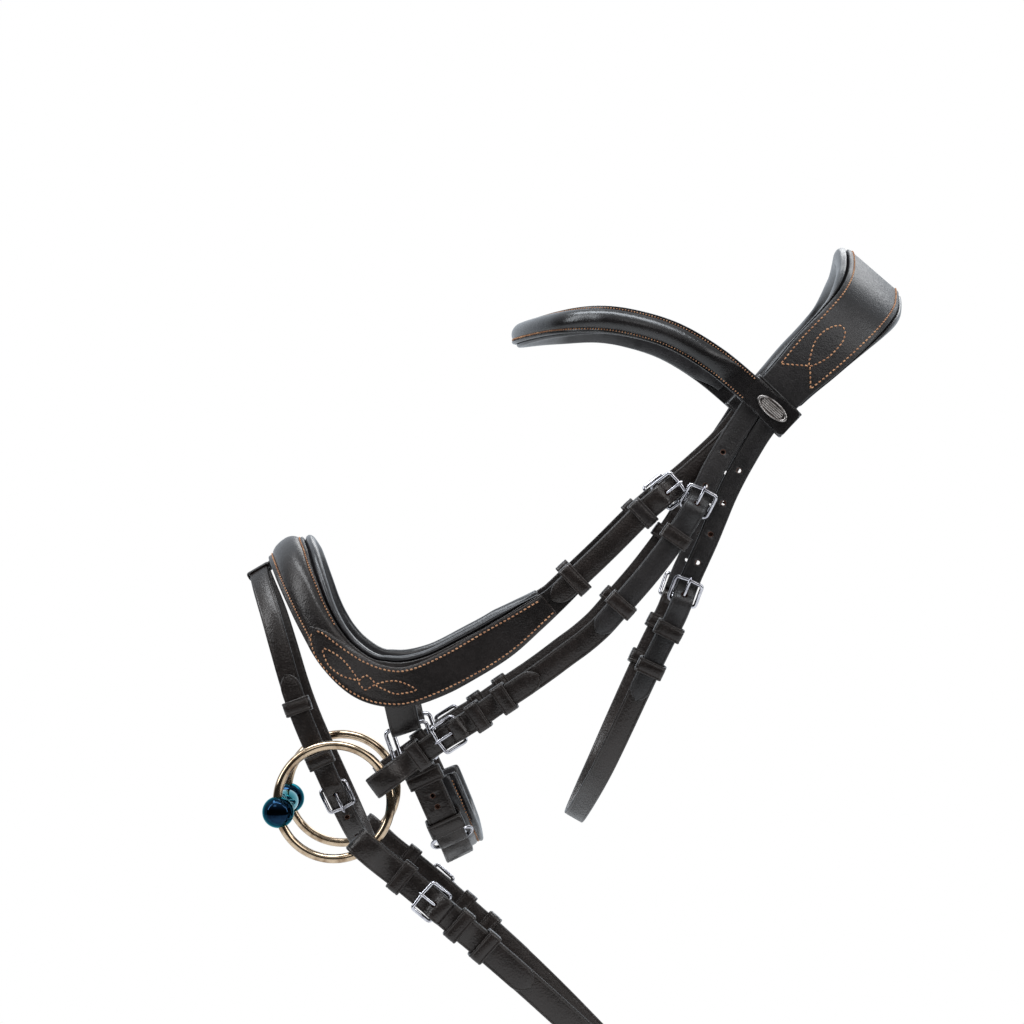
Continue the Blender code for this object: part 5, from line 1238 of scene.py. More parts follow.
NOSE_BUCKLE = Station(NOSE, NOSE_BUCKLE_PIXELS, -1, HANGER_WIDTH)
CHEEK_BUCKLE = Station(CHEEK, CHEEK_BUCKLE_PIXELS, -1, CHEEK_WIDTH)
LOWER_BUCKLE = Station(CHEEK, LOWER_BUCKLE_PIXELS, 1, CHEEK_WIDTH, True)
THROAT_BUCKLE = Station(THROAT, THROAT_BUCKLE_PIXELS, -1, THROAT_WIDTH)
FLASH_BUCKLE = Station(FLASH, FLASH_BUCKLE_PIXELS, 1, FLASH_WIDTH)
REIN_BUCKLE = Station(REIN, REIN_BUCKLE_PIXELS, -1, REIN_WIDTH, True)


PUNCH_ABOVE = 0.0006


def punched(line, places):
    """Cutters for punched holes at these picture places, wider at their mouths."""
    top, mouth = LEATHER / 2, HOLE + 2 * HOLE_BEVEL
    profile = [(HOLE, -top), (HOLE, top - HOLE_BEVEL), (mouth, top + HOLE_BEVEL), (mouth, top + PUNCH_ABOVE)]
    frames = [line.frame(line.near(*pixels)) for pixels in places]
    return [lathe(place, out, profile, 20) for place, _, out, _ in frames]


# Straps


def billet(station, start, end_pixels):
    """A billet's way from its root through the buckle to its tip, as (s, n) places."""
    path, end, last = station.billet_path(), station.line.near(*end_pixels), station.on_chape
    tail = run(path[-1][0], end + station.sign * TIP_SHARE * station.width, last)
    return run(start, path[0][0])[:-1] + path + tail[1:] + [(end, last)]


def billet_back(station, start, end_pixels):
    """The rest of a billet that comes back from the bit ring through a riding buckle."""
    path, end = station.billet_path(), station.line.near(*end_pixels)
    tail = run(path[-1][0], end + station.sign * TIP_SHARE * station.width, LAYER, STEP * 0.8)
    return [((start + path[0][0]) / 2, LAYER)] + path + tail[1:] + [(end, LAYER)]


def bit_loop(s0, sign):
    """The bend of a strap round the bit ring's wire, from behind it to in front of it."""
    lift = RING_WIRE + ROOM + LEATHER / 2
    turn = bend(lift, (-90, -54, -18, 18, 54, 90), (LOOP_SLACK, lift))
    front = [(0.0, 2 * lift), (-1.2 * lift, 1.8 * lift), (-2.6 * lift, 1.0 * lift), (-3.6 * lift, LAYER)]
    return [(s0 + sign * u, n) for u, n in turn + front]


def make_crown_leather():
    """The crown piece, split on each side into a cheek billet and a throat billet."""
    rings = []
    for s, _ in run(0, CROWN.length, step=FINE_STEP):
        rings.append([CROWN.at(s, up, w) for w, up in strap_outline(crown_half(s), LEATHER, False)])
    billets = []
    for station, tip_pixels, hole_pixels in (
        (CHEEK_BUCKLE, CHEEK_TIP_PIXELS, CHEEK_HOLE_PIXELS),
        (THROAT_BUCKLE, THROAT_TIP_PIXELS, THROAT_HOLE_PIXELS),
    ):
        shell = strap(rail_on(station.line, billet(station, 0.0, tip_pixels)), station.width - GAP, tip=True)
        billets.append(shell.cut(station.hole(), *punched(station.line, hole_pixels)))
    mesh = whole("crown", [Shell().add(over_middle(rings))] + both_sides(*billets), "crown")
    return stand_in(mesh, "crown_piece", "leather", "crown_leather")


def make_hanger():
    """The noseband hanger: over the poll under the crown piece, down behind the cheek billets."""
    down = rail_on(NOSE, billet(NOSE_BUCKLE, 0, NOSE_TIP_PIXELS))
    over = []
    for s, _ in run(0, CROWN.length)[:0:-1]:
        shift = -HANGER_SHIFT_SHARE * 2 * crown_half(s)
        over.append((CROWN.at(s, -(LAYER + ROOM), shift), -CROWN.frame(s)[3]))
    shell = strap(over + [(p, -a) for p, a in down], HANGER_WIDTH - GAP, tip=True)
    stand_in_one("noseband_hanger", both_sides(shell.cut(NOSE_BUCKLE.hole())), "strap", "hanger_strap")


def make_cheek_straps():
    """The cheekpieces: an upper buckle, a loop round the bit ring, and back through the lower buckle."""
    main, loop = CHEEK_BUCKLE.eye_path(), bit_loop(CHEEK.length, 1)
    path = main + run(main[-1][0], loop[0][0])[1:-1] + loop
    path += billet_back(LOWER_BUCKLE, loop[-1][0], LOWER_TIP_PIXELS)
    shell = strap(rail_on(CHEEK, path), CHEEK_WIDTH, tip=True)
    sewn = [CHEEK_BUCKLE.sewn_keeper(CHEEK_KEEPER_PIXELS), LOWER_BUCKLE.sewn_keeper(LOWER_KEEPER_PIXELS)]
    sewn += [LOWER_BUCKLE.low_keeper(pixels) for pixels in (BIT_KEEPER_PIXELS, LOWER_END_KEEPER_PIXELS)]
    sewn += [LOWER_BUCKLE.arch_strap()]
    stand_in_pair("cheekpiece", [shell.cut(CHEEK_BUCKLE.slot(), LOWER_BUCKLE.hole())] + sewn, "strap")
    CHEEK_BUCKLE.hardware("cheek_buckle")
    LOWER_BUCKLE.hardware("bit_buckle")
    stand_in_pair("cheek_runner", [CHEEK_BUCKLE.runner(CHEEK_RUNNER_PIXELS)], "keeper")


def make_throat_leather():
    """The throat strap: under the throat from one side's buckle to the other's."""
    main = THROAT_BUCKLE.eye_path()
    rail = rail_on(THROAT, main + run(main[-1][0], THROAT.length)[1:])
    rail += [(place * FLIP, -(across * FLIP)) for place, across in reversed(rail[:-1])]
    shell, slot = strap(rail, THROAT_WIDTH), THROAT_BUCKLE.slot()
    sewn = both_sides(THROAT_BUCKLE.sewn_keeper(THROAT_KEEPER_PIXELS))
    stand_in_one("throat_strap", [shell.cut(slot, slot.mirrored())] + sewn, "strap", "throat_leather")
    THROAT_BUCKLE.hardware("throat_buckle")
    stand_in_pair("throat_runner", [THROAT_BUCKLE.runner(THROAT_RUNNER_PIXELS)], "keeper")


ARCH_POWER = 0.62
SEAM_VALLEY = 0.00035


def arched(share):
    """The rise of a padded roll between its two stitch lines."""
    return max(0.0, 1 - (share / ROLL_EDGE_SHARE) ** 2) ** ARCH_POWER


def roll_outline(half, roll, high=None):
    """Leather with a roll along its middle, as (across, up) points. high is its reach on the upper side."""
    top, corner = LEATHER / 2, LEATHER * CORNER_SHARE
    shares = [-x for x in reversed(ROLL_SHARES)] + list(ROLL_SHARES[1:])
    valley = SEAM_VALLEY * min(1.0, roll / 0.001)
    upper = []
    for x in shares:
        dip = valley if abs(abs(x) - ROLL_EDGE_SHARE) < 0.01 else 0.0
        upper.append((half * x, top + roll * arched(x) - dip))
    right = [(w, n * (top / corner)) for w, n in arc(corner, 90, -90, 30, (half - corner, 0.0))]
    left = [(-w, n) for w, n in reversed(right)]
    lower = [(half * x, -top + roll * 0.9 * arched(x)) for x in reversed(shares)]
    outline = upper + right + lower + left
    if high is None:
        return outline
    return [(w * high / half if w > 0 else w, n) for w, n in outline]


def roll_rings(line, path, half_at, roll_at, high_at=lambda s: None):
    rings = []
    for s, n in path:
        outline = roll_outline(half_at(s), roll_at(s), high_at(s))
        rings.append([line.at(s, n + up, w) for w, up in outline])
    return rings


def folded_rings(line, path, half_at):
    """The folded end of a shaped band, in rings of the same count as its roll."""
    half = half_at(path[-1][0])
    rail = fine_rail(rail_on(line, path))
    return [[p + a * w + u * n for w, n in roll_outline(half, 0.0)] for p, a, u in rail]


PATCH_RINGS, PATCH_SIDES = 90, 12
PATCH_EDGE, PATCH_SUNK = PATCH_LEATHER * 0.35, 0.0004


def patch_shell():
    """The leather patch that is sewn on the noseband's side, ending in a point towards the nose."""
    edges = (PATCH_UPPER, PATCH_LOWER)
    upper, lower = (sorted(across_of(NOSE, p.x, p.y) for p in smooth_path(edge)) for edge in edges)
    start, end = min(upper[0][0], lower[0][0]), max(upper[-1][0], lower[-1][0]) + PATCH_MARGIN
    rings = []
    for k in range(PATCH_RINGS + 1):
        s = start + (end - start) * k / PATCH_RINGS
        high, low = read_at(upper, s) + PATCH_MARGIN, read_at(lower, s) - PATCH_MARGIN
        high, low = max(high, low), min(high, low)
        middle, half = (high + low) / 2, (high - low) / 2
        ends = min((end - s) / (2.2 * PATCH_MARGIN), 1.0)
        half *= max(0.1, (1 - (1 - ends) ** 2) ** 0.5)
        middle = min(max(middle, half - nose_half(s)), nose_upper(s) - half)
        lifts = [(0, PATCH_EDGE)] + [(j, PATCH_LEATHER) for j in range(1, PATCH_SIDES)]
        lifts += [(PATCH_SIDES, PATCH_EDGE)] + [(j, -PATCH_SUNK) for j in (12, 8, 4, 0)]
        ring = []
        for j, lift in lifts:
            w = middle + half * (-1 + 2 * j / PATCH_SIDES)
            ring.append(NOSE.at(s, LEATHER / 2 + nose_roll(s) * arched(w / nose_reach(s, w)) + lift, w))
        rings.append(ring)
    return Shell().add(rings)


def tab_shell():
    """The strap under the noseband that folds round the dee's top bar."""
    place, loop = TAB.near(*DEE_PIXELS), DEE_WIRE + ROOM + LEATHER / 2
    path = run(0, place)[:-1] + bend(loop, (90, 54, 18, -18, -54, -90), (place, -loop))
    path += [(place - 1.5 * loop, -2 * loop), (place - 3 * loop, -2 * loop)]
    return strap(rail_on(TAB, path), TAB_WIDTH)


def flash_loop_shells():
    """The loop on the front of the noseband for the flash strap, and its sewn tail."""
    low, high = -LEATHER / 2 - KEEPER_ROOM, LEATHER / 2 + ROOM / 2
    sizes = (FLASH_WIDTH, FLASH_LOOP_LENGTH, FLASH_LOOP_LEATHER)
    under = -(LEATHER + KEEPER_LEATHER) / 2 + SEWN
    rail = [(FLASH.at(0, low - KEEPER_LEATHER / 2, -FLASH_WIDTH / 4), ACROSS_HEAD)]
    for share in (1, NOSE_PAD_FOOT_SHARE + 0.2):
        rail.append((NOSE.at(NOSE.length, under, -NOSEBAND_WIDTH / 2 * share), ACROSS_HEAD))
    tail = strap(rail, FLASH_LOOP_LENGTH * 0.8, KEEPER_LEATHER, creases=False)
    return [keeper(FLASH, 0.0, (low, high), *sizes, bent=True), tail]


ROLL_STEP = 0.0018


def make_noseband_leather():
    """The noseband: a shaped band with a padded roll over the nose, patches, tabs and the flash loop."""
    main = NOSE_BUCKLE.eye_path()
    folded = folded_rings(NOSE, main, nose_half)
    path = run(main[-1][0], NOSE.length, step=ROLL_STEP)[1:]
    flat = roll_rings(NOSE, path, nose_half, nose_roll, nose_upper)
    start, end, target = folded[-1][0], folded[-1][-1], flat[0][0]
    if (start - target).length > (end - target).length * 3:
        folded = [ring[::-1] for ring in folded]
    slot = NOSE_BUCKLE.slot()
    band = Shell().add(over_middle(folded + flat)).cut(slot, slot.mirrored())
    sewn = both_sides(NOSE_BUCKLE.sewn_keeper(NOSE_KEEPER_PIXELS), patch_shell(), tab_shell())
    made = stand_in_one("noseband", [band] + sewn + flash_loop_shells(), "leather", "noseband_leather")
    NOSE_BUCKLE.hardware("noseband_buckle")
    width = 2 * nose_half(NOSE.near(*NOSE_RUNNER_PIXELS) + KEEPER_LENGTH)
    stand_in_pair("noseband_runner", [NOSE_BUCKLE.runner(NOSE_RUNNER_PIXELS, width)], "keeper")
    return made


def make_dees():
    """The rounded wire dee in each tab, which carries the chin strap."""
    drop, top = -(DEE_WIRE + ROOM + LEATHER / 2), TAB.near(*DEE_PIXELS)
    upper, lower = TAB.at(top, drop), CHIN.at(0, drop)
    across, across_low = TAB.frame(top)[3], CHIN.frame(0)[3]
    half, corner = DEE_LENGTH / 2, DEE_CORNER_SHARE
    cut_in = corner * (lower - upper).length
    corners = ((0, 1.3), (0, 1), (0.3, 0.3), (1, 0), (1.3, 0))
    ends = [(corner * u, half - cut_in * w) for u, w in corners]
    outline = ends + [(1 - u, w) for u, w in reversed(ends)]
    outline += [(u, -w) for u, w in reversed(outline)]
    places = [upper.lerp(lower, u) + across.lerp(across_low, u) * w for u, w in outline]
    dee = wire(places, DEE_WIRE, (lower - upper).cross(across).normalized(), closed=True)
    stand_in_pair("noseband_dee", [dee], "steel")


def make_brow_leather():
    """The browband: a roll between two rows of stitches, and a loop round the crown piece at each end."""
    ends = [(BLOCK_ROUND * (1 - math.cos(math.radians(a))) - BLOCK_REACH, 0.0) for a in (8, 25, 45, 65, 90)]
    path = ends + run(BLOCK_ROUND - BLOCK_REACH, BROW.length, step=ROLL_STEP)[1:]
    band = Shell().add(over_middle(roll_rings(BROW, path, brow_half, brow_roll)))
    place = CROWN.near(*LOOP_PIXELS)
    sizes = (2 * (crown_half(place) + LOOP_SPARE), LOOP_LENGTH, KEEPER_LEATHER, LOOP_SHIFT)
    loop = keeper(CROWN, place, loop_heights(), *sizes, bent=True)
    mesh = whole("browband", [band] + both_sides(loop), "brow")
    return stand_in(mesh, "browband", "leather", "browband_leather")


BADGE_PROFILE = ((0.97, 0.0), (1.0, 0.25), (1.0, 0.70), (0.965, 1.05), (0.91, 1.15), (0.86, 1.02))
BADGE_PROFILE += ((0.82, 0.45), (0.76, 0.36), (0.55, 0.42), (0.3, 0.46), (0.02, 0.48))


def make_badges():
    """An oval plate with a raised rim and fine ridges on each browband loop."""
    place, along, out, across = BROW.frame(BROW.near(*BADGE_PIXELS))
    low = place + out * (LEATHER / 2 + GAP)
    long, wide, high = BADGE_LENGTH / 2, BADGE_WIDTH / 2, BADGE_THICKNESS
    rings = []
    for size, rise in BADGE_PROFILE:
        edge = 1.0 - (1.0 - size) * long * 0.55 / wide
        narrow = wide * min(size, max(edge, size * 0.9))
        face = low + out * high * rise
        rings.append([face + along * c * long * size + across * s * narrow for c, s in circle(56)])
    shells = [Shell().add(rings)]
    for k in (-2, -1, 0, 1, 2):
        w = wide * 0.24 * k
        reach = long * 0.70 * (1 - (w / wide) ** 2) ** 0.5
        places = []
        for t in (-1, -0.5, 0, 0.5, 1):
            places.append(low + along * reach * t + across * w + out * high * (0.52 - 0.1 * t * t))
        shells.append(wire(places, RIDGE, out, sides=8))
    stand_in_pair("badge", shells, "pewter")


def make_flash_leather():
    """One strap: down the near side to its buckle, and the other way round the nose to its billet."""
    station, front, short = FLASH_BUCKLE, STEP * 2, STEP / 2
    first = station.eye_path()
    first += run(first[-1][0], front)[1:] + run(front, 0, step=short)[1:]
    far = run(0, front, step=short)[1:] + run(front, FLASH.length)[1:]
    path, end = station.billet_path(), FLASH.near(*FLASH_TIP_PIXELS)
    last = run(FLASH.length, path[0][0])[1:-1] + path
    last += run(path[-1][0], end + TIP_SHARE * FLASH_WIDTH, LAYER)[1:] + [(end, LAYER)]
    rail = rail_on(FLASH, first) + flipped(rail_on(FLASH, far)) + rail_on(FLASH, last)
    shell = strap(rail, FLASH_WIDTH, tip=True)
    shell.cut(station.slot(), station.hole(), *punched(FLASH, FLASH_HOLE_PIXELS))
    stand_in_one("flash_strap", [shell, station.sewn_keeper(FLASH_KEEPER_PIXELS)], "strap", "flash_leather")
    station.hardware("flash_buckle", stand_in_one)
    stand_in_one("flash_runner", [station.runner(FLASH_RUNNER_PIXELS)], "keeper")


def make_rein_leather():
    """A rein on each bit ring, and the buckle that joins the two."""
    station, end, bar, loop = REIN_BUCKLE, REIN.length, -LAYER / 2, bit_loop(0.0, -1)
    folded = [(end + u, n) for u, n in reversed(fold_path(bar, (90, 45, 0, -45, -90), [(-FOLD, -LAYER)]))]
    path = folded + run(folded[-1][0], loop[0][0])[1:-1] + loop
    path += billet_back(station, loop[-1][0], REIN_TIP_PIXELS)
    shell = strap(rail_on(REIN, path), REIN_WIDTH, tip=True)
    sewn = [station.sewn_keeper(REIN_KEEPER_PIXELS), station.low_keeper(REIN_BIT_KEEPER_PIXELS)]
    stand_in_pair("rein", [shell.cut(station.hole())] + sewn + [station.arch_strap()], "strap")
    station.hardware("rein_buckle")
    stand_in_pair("rein_runner", [station.runner(REIN_RUNNER_PIXELS)], "keeper")
    half = REIN_WIDTH / 2 + ROOM + BAR
    start, stop = (REIN.at(end, bar, w) for w in (-half, half))
    inward = (start * FLIP - start).normalized() * BAR
    along = (stop - start).normalized() * BAR
    outline = [start + inward, start + along, stop - along, stop + inward]
    outline += [p * FLIP for p in reversed(outline)]
    join = wire(outline, BAR, ACROSS_HEAD.cross(along).normalized(), closed=True)
    stand_in_one("rein_join", [join], "steel")


# Bit


# How finely the rings, bores, eyes, arms and the link are made
RING_SIDES, BORE_SIDES, EYE_SIDES, ARM_SIDES = (160, 28), (120, 20), (40, 14), 64
LINK_RINGS, LINK_SIDES, LINK_BODY_SHARE = 24, 32, 0.62


def make_bit():
    """Loose rings, arms with ball ends, and the link that joins the arms."""
    centre = seen(RING_COLUMN, RING_ROW, -RING_DEPTH)
    stand_in_pair("bit_ring", [hoop(centre, ACROSS_HEAD, RING_RADIUS, RING_WIRE, *RING_SIDES)], "bronze")
    out = (seen(BALL_COLUMN, BALL_ROW, -RING_DEPTH) - centre).normalized()
    ball, axis = centre + out * RING_RADIUS, Vector((-out.z, 0, out.x))
    middle = Vector((ball.x, 0, ball.z))
    eye_place = -(LINK_HALF + 2 * EYE_RADIUS - 2 * EYE_WIRE - LINK_SLACK)
    arm = lathe(middle, ACROSS_HEAD, arm_profile(eye_place), ARM_SIDES)
    arm.cut(hoop(centre, ACROSS_HEAD, RING_RADIUS, RING_WIRE + BORE_GAP, *BORE_SIDES))
    eye = hoop(middle + ACROSS_HEAD * eye_place, axis, EYE_RADIUS, EYE_WIRE, *EYE_SIDES)
    stand_in_pair("bit_arm", [arm, eye], "blue_steel", "blue_steel")
    side = axis.cross(ACROSS_HEAD)
    rings = []
    for k in range(1, LINK_RINGS):
        a = math.pi * k / LINK_RINGS
        half, deep = -math.cos(a) * LINK_HALF * LINK_BODY_SHARE, math.sin(a) / 2
        outline = [side * c * LINK_WIDTH + axis * s * LINK_HEIGHT for c, s in circle(LINK_SIDES)]
        rings.append([middle + ACROSS_HEAD * half + p * deep for p in outline])
    link = [Shell().add(rings)]
    for sign in (-1, 1):
        link.append(hoop(middle + ACROSS_HEAD * LINK_HALF * sign, side, EYE_RADIUS, EYE_WIRE, *EYE_SIDES))
    stand_in_one("bit_link", link, "blue_steel")


def arm_profile(eye_place):
    """The domed cap, the ball and the arm as (radius, place along the mouthpiece), outer end first."""
    start, end = -RING_DEPTH, eye_place - EYE_RADIUS
    dome = []
    for c, s in bend(1.0, range(90, 18, -8)):
        dome.append((BALL_CAP * 1.25 * c, start - BALL_RADIUS * 1.12 + BALL_CAP * 0.5 * (1 - s)))
    cap = [(r, y) for r, y in dome if r < BALL_CAP]
    grooved = ((1.0, 0.93), (0.98, 0.88), (0.84, 0.85), (0.84, 0.80), (0.97, 0.765))
    cap += [(BALL_CAP * r, start - BALL_RADIUS * y) for r, y in grooved]
    ball = bend(BALL_RADIUS, range(-45, 61, 7), (0, start))
    neck = [(ARM_NECK, start + BALL_RADIUS * 0.92), (ARM_NECK, start + BALL_RADIUS * 1.25)]
    length = end - neck[-1][1]
    rest = [(0.88, 0.14), (0.96, 0.28), (1.0, 0.45), (0.94, 0.60), (0.82, 0.75), (0.68, 0.88)]
    bulge = [(ARM_RADIUS * r, neck[-1][1] + length * y) for r, y in rest]
    bulge += [(ARM_NECK * 0.9, end - 0.0004), (ARM_NECK * 0.5, end + EYE_WIRE * 0.4)]
    return cap + ball + neck + bulge


# Chin


def chin_heights():
    """Heights of the roller's axis and of the strap that comes back behind it."""
    turn = ROLLER_RADIUS + ROOM + LEATHER / 2
    return -turn, -2 * turn


def chin_pad_top():
    """The height of the chin pad's outer face, behind the roller's strap and its keeper."""
    return chin_heights()[1] - LEATHER / 2 - KEEPER_ROOM - KEEPER_LEATHER - ROOM


def dee_turn():
    """The bend of a chin strap over a dee's lower bar."""
    loop = DEE_WIRE + ROOM + LEATHER / 2
    turn = bend(loop, (270, 234, 198, 162, 126, 90), (0, -loop))
    return [(CHIN_TAIL, -2 * loop), (loop, -2 * loop)] + turn


def make_chin_strap():
    """The chin strap from the near dee round its roller, and its loose keeper."""
    place = CHIN.near(*CHIN_ROLLER_PIXELS)
    axis, back = chin_heights()
    first = dee_turn() + run(0, place, step=STEP / 2)[1:]
    centre, along, out, across = CHIN.frame(place)
    turn = [(centre + along * u + out * n, across) for u, n in bend(-axis, (54, 18, -18, -54), (0, axis))]
    rail = rail_on(CHIN, first) + turn + rail_on(CHIN, run(place, CHIN_TAIL * 1.2, back, STEP / 2))
    shell = strap(rail, CHIN_WIDTH).cut(*punched(CHIN, CHIN_HOLE_PIXELS))
    heights = (first[0][1] - LEATHER / 2 + SEWN, LEATHER / 2 + GAP)
    collar = keeper(CHIN, CHIN.near(*CHIN_COLLAR_PIXELS), heights, CHIN_WIDTH, bent=True)
    stand_in_one("chin_strap", [shell, collar], "strap", "chin_leather")
    heights = (back - LEATHER / 2 - KEEPER_ROOM, LEATHER / 2 + KEEPER_ROOM)
    loose = keeper(CHIN, CHIN.near(*CHIN_KEEPER_PIXELS), heights, CHIN_WIDTH, bent=True)
    stand_in_one("chin_runner", [loose], "keeper")


def make_roller():
    """The roller that the chin strap turns round, and its wire frame."""
    place, height = CHIN.near(*CHIN_ROLLER_PIXELS), chin_heights()[0]
    half, corner = CHIN_WIDTH / 2 + ROOM, ROLLER_WIRE
    centre, _, out, across = CHIN.frame(place)
    centre = centre + out * height
    bevel, bore = 0.0006, ROLLER_WIRE + GAP
    profile = [(ROLLER_RADIUS - bevel, -half), (ROLLER_RADIUS, -half + bevel), (ROLLER_RADIUS, half - bevel)]
    profile += [(ROLLER_RADIUS - bevel, half), (bore, half), (bore, -half)]
    stand_in_one("chin_roller", [lathe(centre, across, profile, 32, closed=True)], "steel")
    side = half + ROOM + ROLLER_WIRE
    lie = chin_pad_top() + ROOM + LEATHER / 2
    bar_height = lie + ROLLER_WIRE + ROOM + LEATHER / 2
    reach = CHIN.at(place + ROLLER_FRAME, bar_height) - centre
    reach = reach - across * reach.dot(across)
    share = corner / reach.length
    outline = [(0, -side + corner), (0, side - corner), (share, side), (1 - share, side), (1, side - corner)]
    outline += [(1, -side + corner), (1 - share, -side), (share, -side)]
    places = [centre + reach * u + across * w for u, w in outline]
    frame_wire = wire(places, ROLLER_WIRE, reach.cross(across).normalized(), closed=True)
    stand_in_one("roller_frame", [frame_wire], "steel")
    return lie, bar_height


def make_chin_pad_strap(lie, bar_height):
    """The strap from the far dee along the chin pad to the roller's frame."""
    start = CHIN.near(*CHIN_PAD_START_PIXELS)
    far = dee_turn() + run(0, start)[1:] + [(start + CHIN_TAIL, lie * 0.5)]
    far += run(start + 2 * CHIN_TAIL, CHIN.length, lie)
    bar, loop = CHIN.near(*CHIN_ROLLER_PIXELS) + ROLLER_FRAME, ROLLER_WIRE + ROOM + LEATHER / 2
    rest = run(CHIN.length, bar + CHIN_TAIL, lie)[1:] + [(bar, lie)]
    rest += bend(loop, (234, 198, 162, 126, 90), (bar, bar_height))
    rest += [(bar + CHIN_TAIL * 0.9, lie + 2 * loop)]
    rail = flipped(rail_on(CHIN, far)) + rail_on(CHIN, rest)
    stand_in_one("chin_pad_strap", [strap(rail, CHIN_WIDTH)], "strap")


# Stitching


SMOOTH_STEPS, SEAM_STEP = 4, 0.002


def smooth_path(places, closed=False):
    """A curve through picture places."""
    points = [Vector((c, r, 0)) for c, r in places]
    before, after = (points[-2], points[1]) if closed else (None, None)
    count = SMOOTH_STEPS * (len(points) - 1)
    return [curve_value(points, k / SMOOTH_STEPS, before, after) for k in range(count + 1)]


def seen_on(tree, places, closed=False):
    """Places and normals on a surface, where picture places show on it."""
    found = []
    for place in smooth_path(places, closed):
        way = (seen(place.x, place.y, -HEAD_HALF_WIDTH) - EYE).normalized()
        point, normal, _, _ = tree.ray_cast(EYE, way)
        if point is not None:
            found.append((point, normal))
    return found


def along_on(tree, line, start, end, shift, high=0.012):
    """Places and normals on a surface, along a line at a shift across that may change with the length."""
    found = []
    count = max(2, round(abs(end - start) / SEAM_STEP))
    for k in range(count + 1):
        s = start + (end - start) * k / count
        place, _, out, across = line.frame(s)
        point, normal, _, _ = tree.ray_cast(place + across * shift(s) + out * high, -out)
        if point is not None:
            found.append((point, normal))
    return found


def flipped(path):
    return [(p * FLIP, n * FLIP) for p, n in path]


def across_middle(path):
    """A near path that ends on the middle plane, and on to its mirror image."""
    return path + list(reversed(flipped(path[:-1])))


def spaced(path, pitch):
    """Evenly spaced (place, normal, way) along a path."""
    found, left = [], pitch / 2
    for (a, na), (b, nb) in zip(path, path[1:]):
        length = (b - a).length
        if length < 1e-7:
            continue
        while left <= length:
            t = left / length
            found.append((a.lerp(b, t), na.lerp(nb, t).normalized(), (b - a).normalized()))
            left += pitch
        left -= length
    return found


# A stitch's rings: their place along it, size and height, in shares of the pitch and the thread
STITCH_RINGS = ((-0.31, 0.40, -0.2), (-0.24, 0.88, 0.45), (0.0, 1.0, 0.80))
STITCH_RINGS += ((0.24, 0.88, 0.45), (0.31, 0.40, -0.2))
STITCH_SIDES, STITCH_SLANT = 6, 0.16


def stitching(name, paths, pitch, body=ROOT, reach=1.0):
    """Rows of thread stitches that stand a little proud of the leather, all in one piece."""
    shell, outline = Shell(), circle(STITCH_SIDES)
    for place, normal, way in (stitch for path in paths for stitch in spaced(path, pitch)):
        across = way.cross(normal).normalized()
        way = (way + across * STITCH_SLANT).normalized()
        across = way.cross(normal).normalized()
        rings = []
        for along, size, lift in STITCH_RINGS:
            centre = place + way * along * reach * pitch + normal * lift * THREAD
            rings.append([centre + (across * c + normal * s) * size * THREAD for c, s in outline])
        shell.add(rings)
    mesh = shell.mesh(name, "thread")
    mesh.shade_smooth()
    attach(linked(name, mesh), body)


def seam_rows(tree, line, starts, shift, **settings):
    """A row on each side of a line, over the middle plane. shift says how far out, by length and side."""
    rows = []
    for side, start in zip((1, -1), starts):
        near = along_on(tree, line, start, line.length, lambda s: side * shift(s, side), **settings)
        rows.append(across_middle(near))
    return rows


def make_crown_stitching(leather):
    tree = surface(leather)
    starts = [CROWN.near(*start) for start in (CROWN_REAR_START, CROWN_FRONT_START)]
    rear, front = seam_rows(tree, CROWN, starts, lambda s, side: crown_half(s) - STITCH_INSET)
    shapes = [
        seen_on(tree, (in_picture(front[0][0]), CROWN_POINT)),
        seen_on(tree, (CROWN_POINT, in_picture(rear[0][0]))),
        seen_on(tree, CROWN_LEAF, True),
    ]
    stitching("crown_stitching", [front, rear] + shapes + [flipped(s) for s in shapes], PITCH)


def make_brow_stitching(leather):
    starts = [BROW.near(*start) for start in (BROW_UPPER_START, BROW_LOWER_START)]
    rows = seam_rows(surface(leather), BROW, starts, lambda s, side: BROWBAND_WIDTH / 2 * SEAM_SHARE)
    stitching("browband_stitching", rows, FINE_PITCH, reach=0.62)


def make_nose_stitching(leather):
    tree = surface(leather)
    shapes = [seen_on(tree, PATCH_UPPER), seen_on(tree, PATCH_LOWER), seen_on(tree, ALMOND_FRONT, True)]
    shapes += [seen_on(tree, DIAMOND), seen_on(tree, ALMOND_REAR, True)]
    stitching("noseband_stitching", shapes + [flipped(s) for s in shapes], PITCH)
    starts = [NOSE.near(*NOSE_SEAM_START)] * 2
    rows = seam_rows(tree, NOSE, starts, lambda s, side: nose_reach(s, side) * SEAM_SHARE)
    stitching("roll_stitching", rows, SHORT_PITCH)


def make_chin_stitching(padding):
    """The seams that draw the chin pad in beside its strap."""
    starts = [CHIN.near(*CHIN_PAD_START_PIXELS) + STITCH_INSET] * 2
    half = CHIN_PAD_WIDTH / 2 * CHIN_SEAM_SHARE
    tree = surface(padding)
    rows = seam_rows(tree, CHIN, starts, lambda s, side: half - side * CHIN_PAD_SHIFT, high=-0.0035)
    stitching("chin_stitching", rows, SHORT_PITCH, body_of(NODES["chin_pad"])[0])


# Padding


def closed_curve(points, count):
    """Evenly numbered points on a closed smooth curve through (w, n) points."""
    total = len(points)
    found = []
    for k in range(count):
        place = total * k / count
        i, t = int(place), place - int(place)
        a, b, c, d = (Vector(points[(i + j) % total]) for j in (-1, 0, 1, 2))
        value = 2 * b + (c - a) * t + (2 * a - 5 * b + 4 * c - d) * t**2 + (3 * b - a - 3 * c + d) * t**3
        found.append(value * 0.5)
    return found


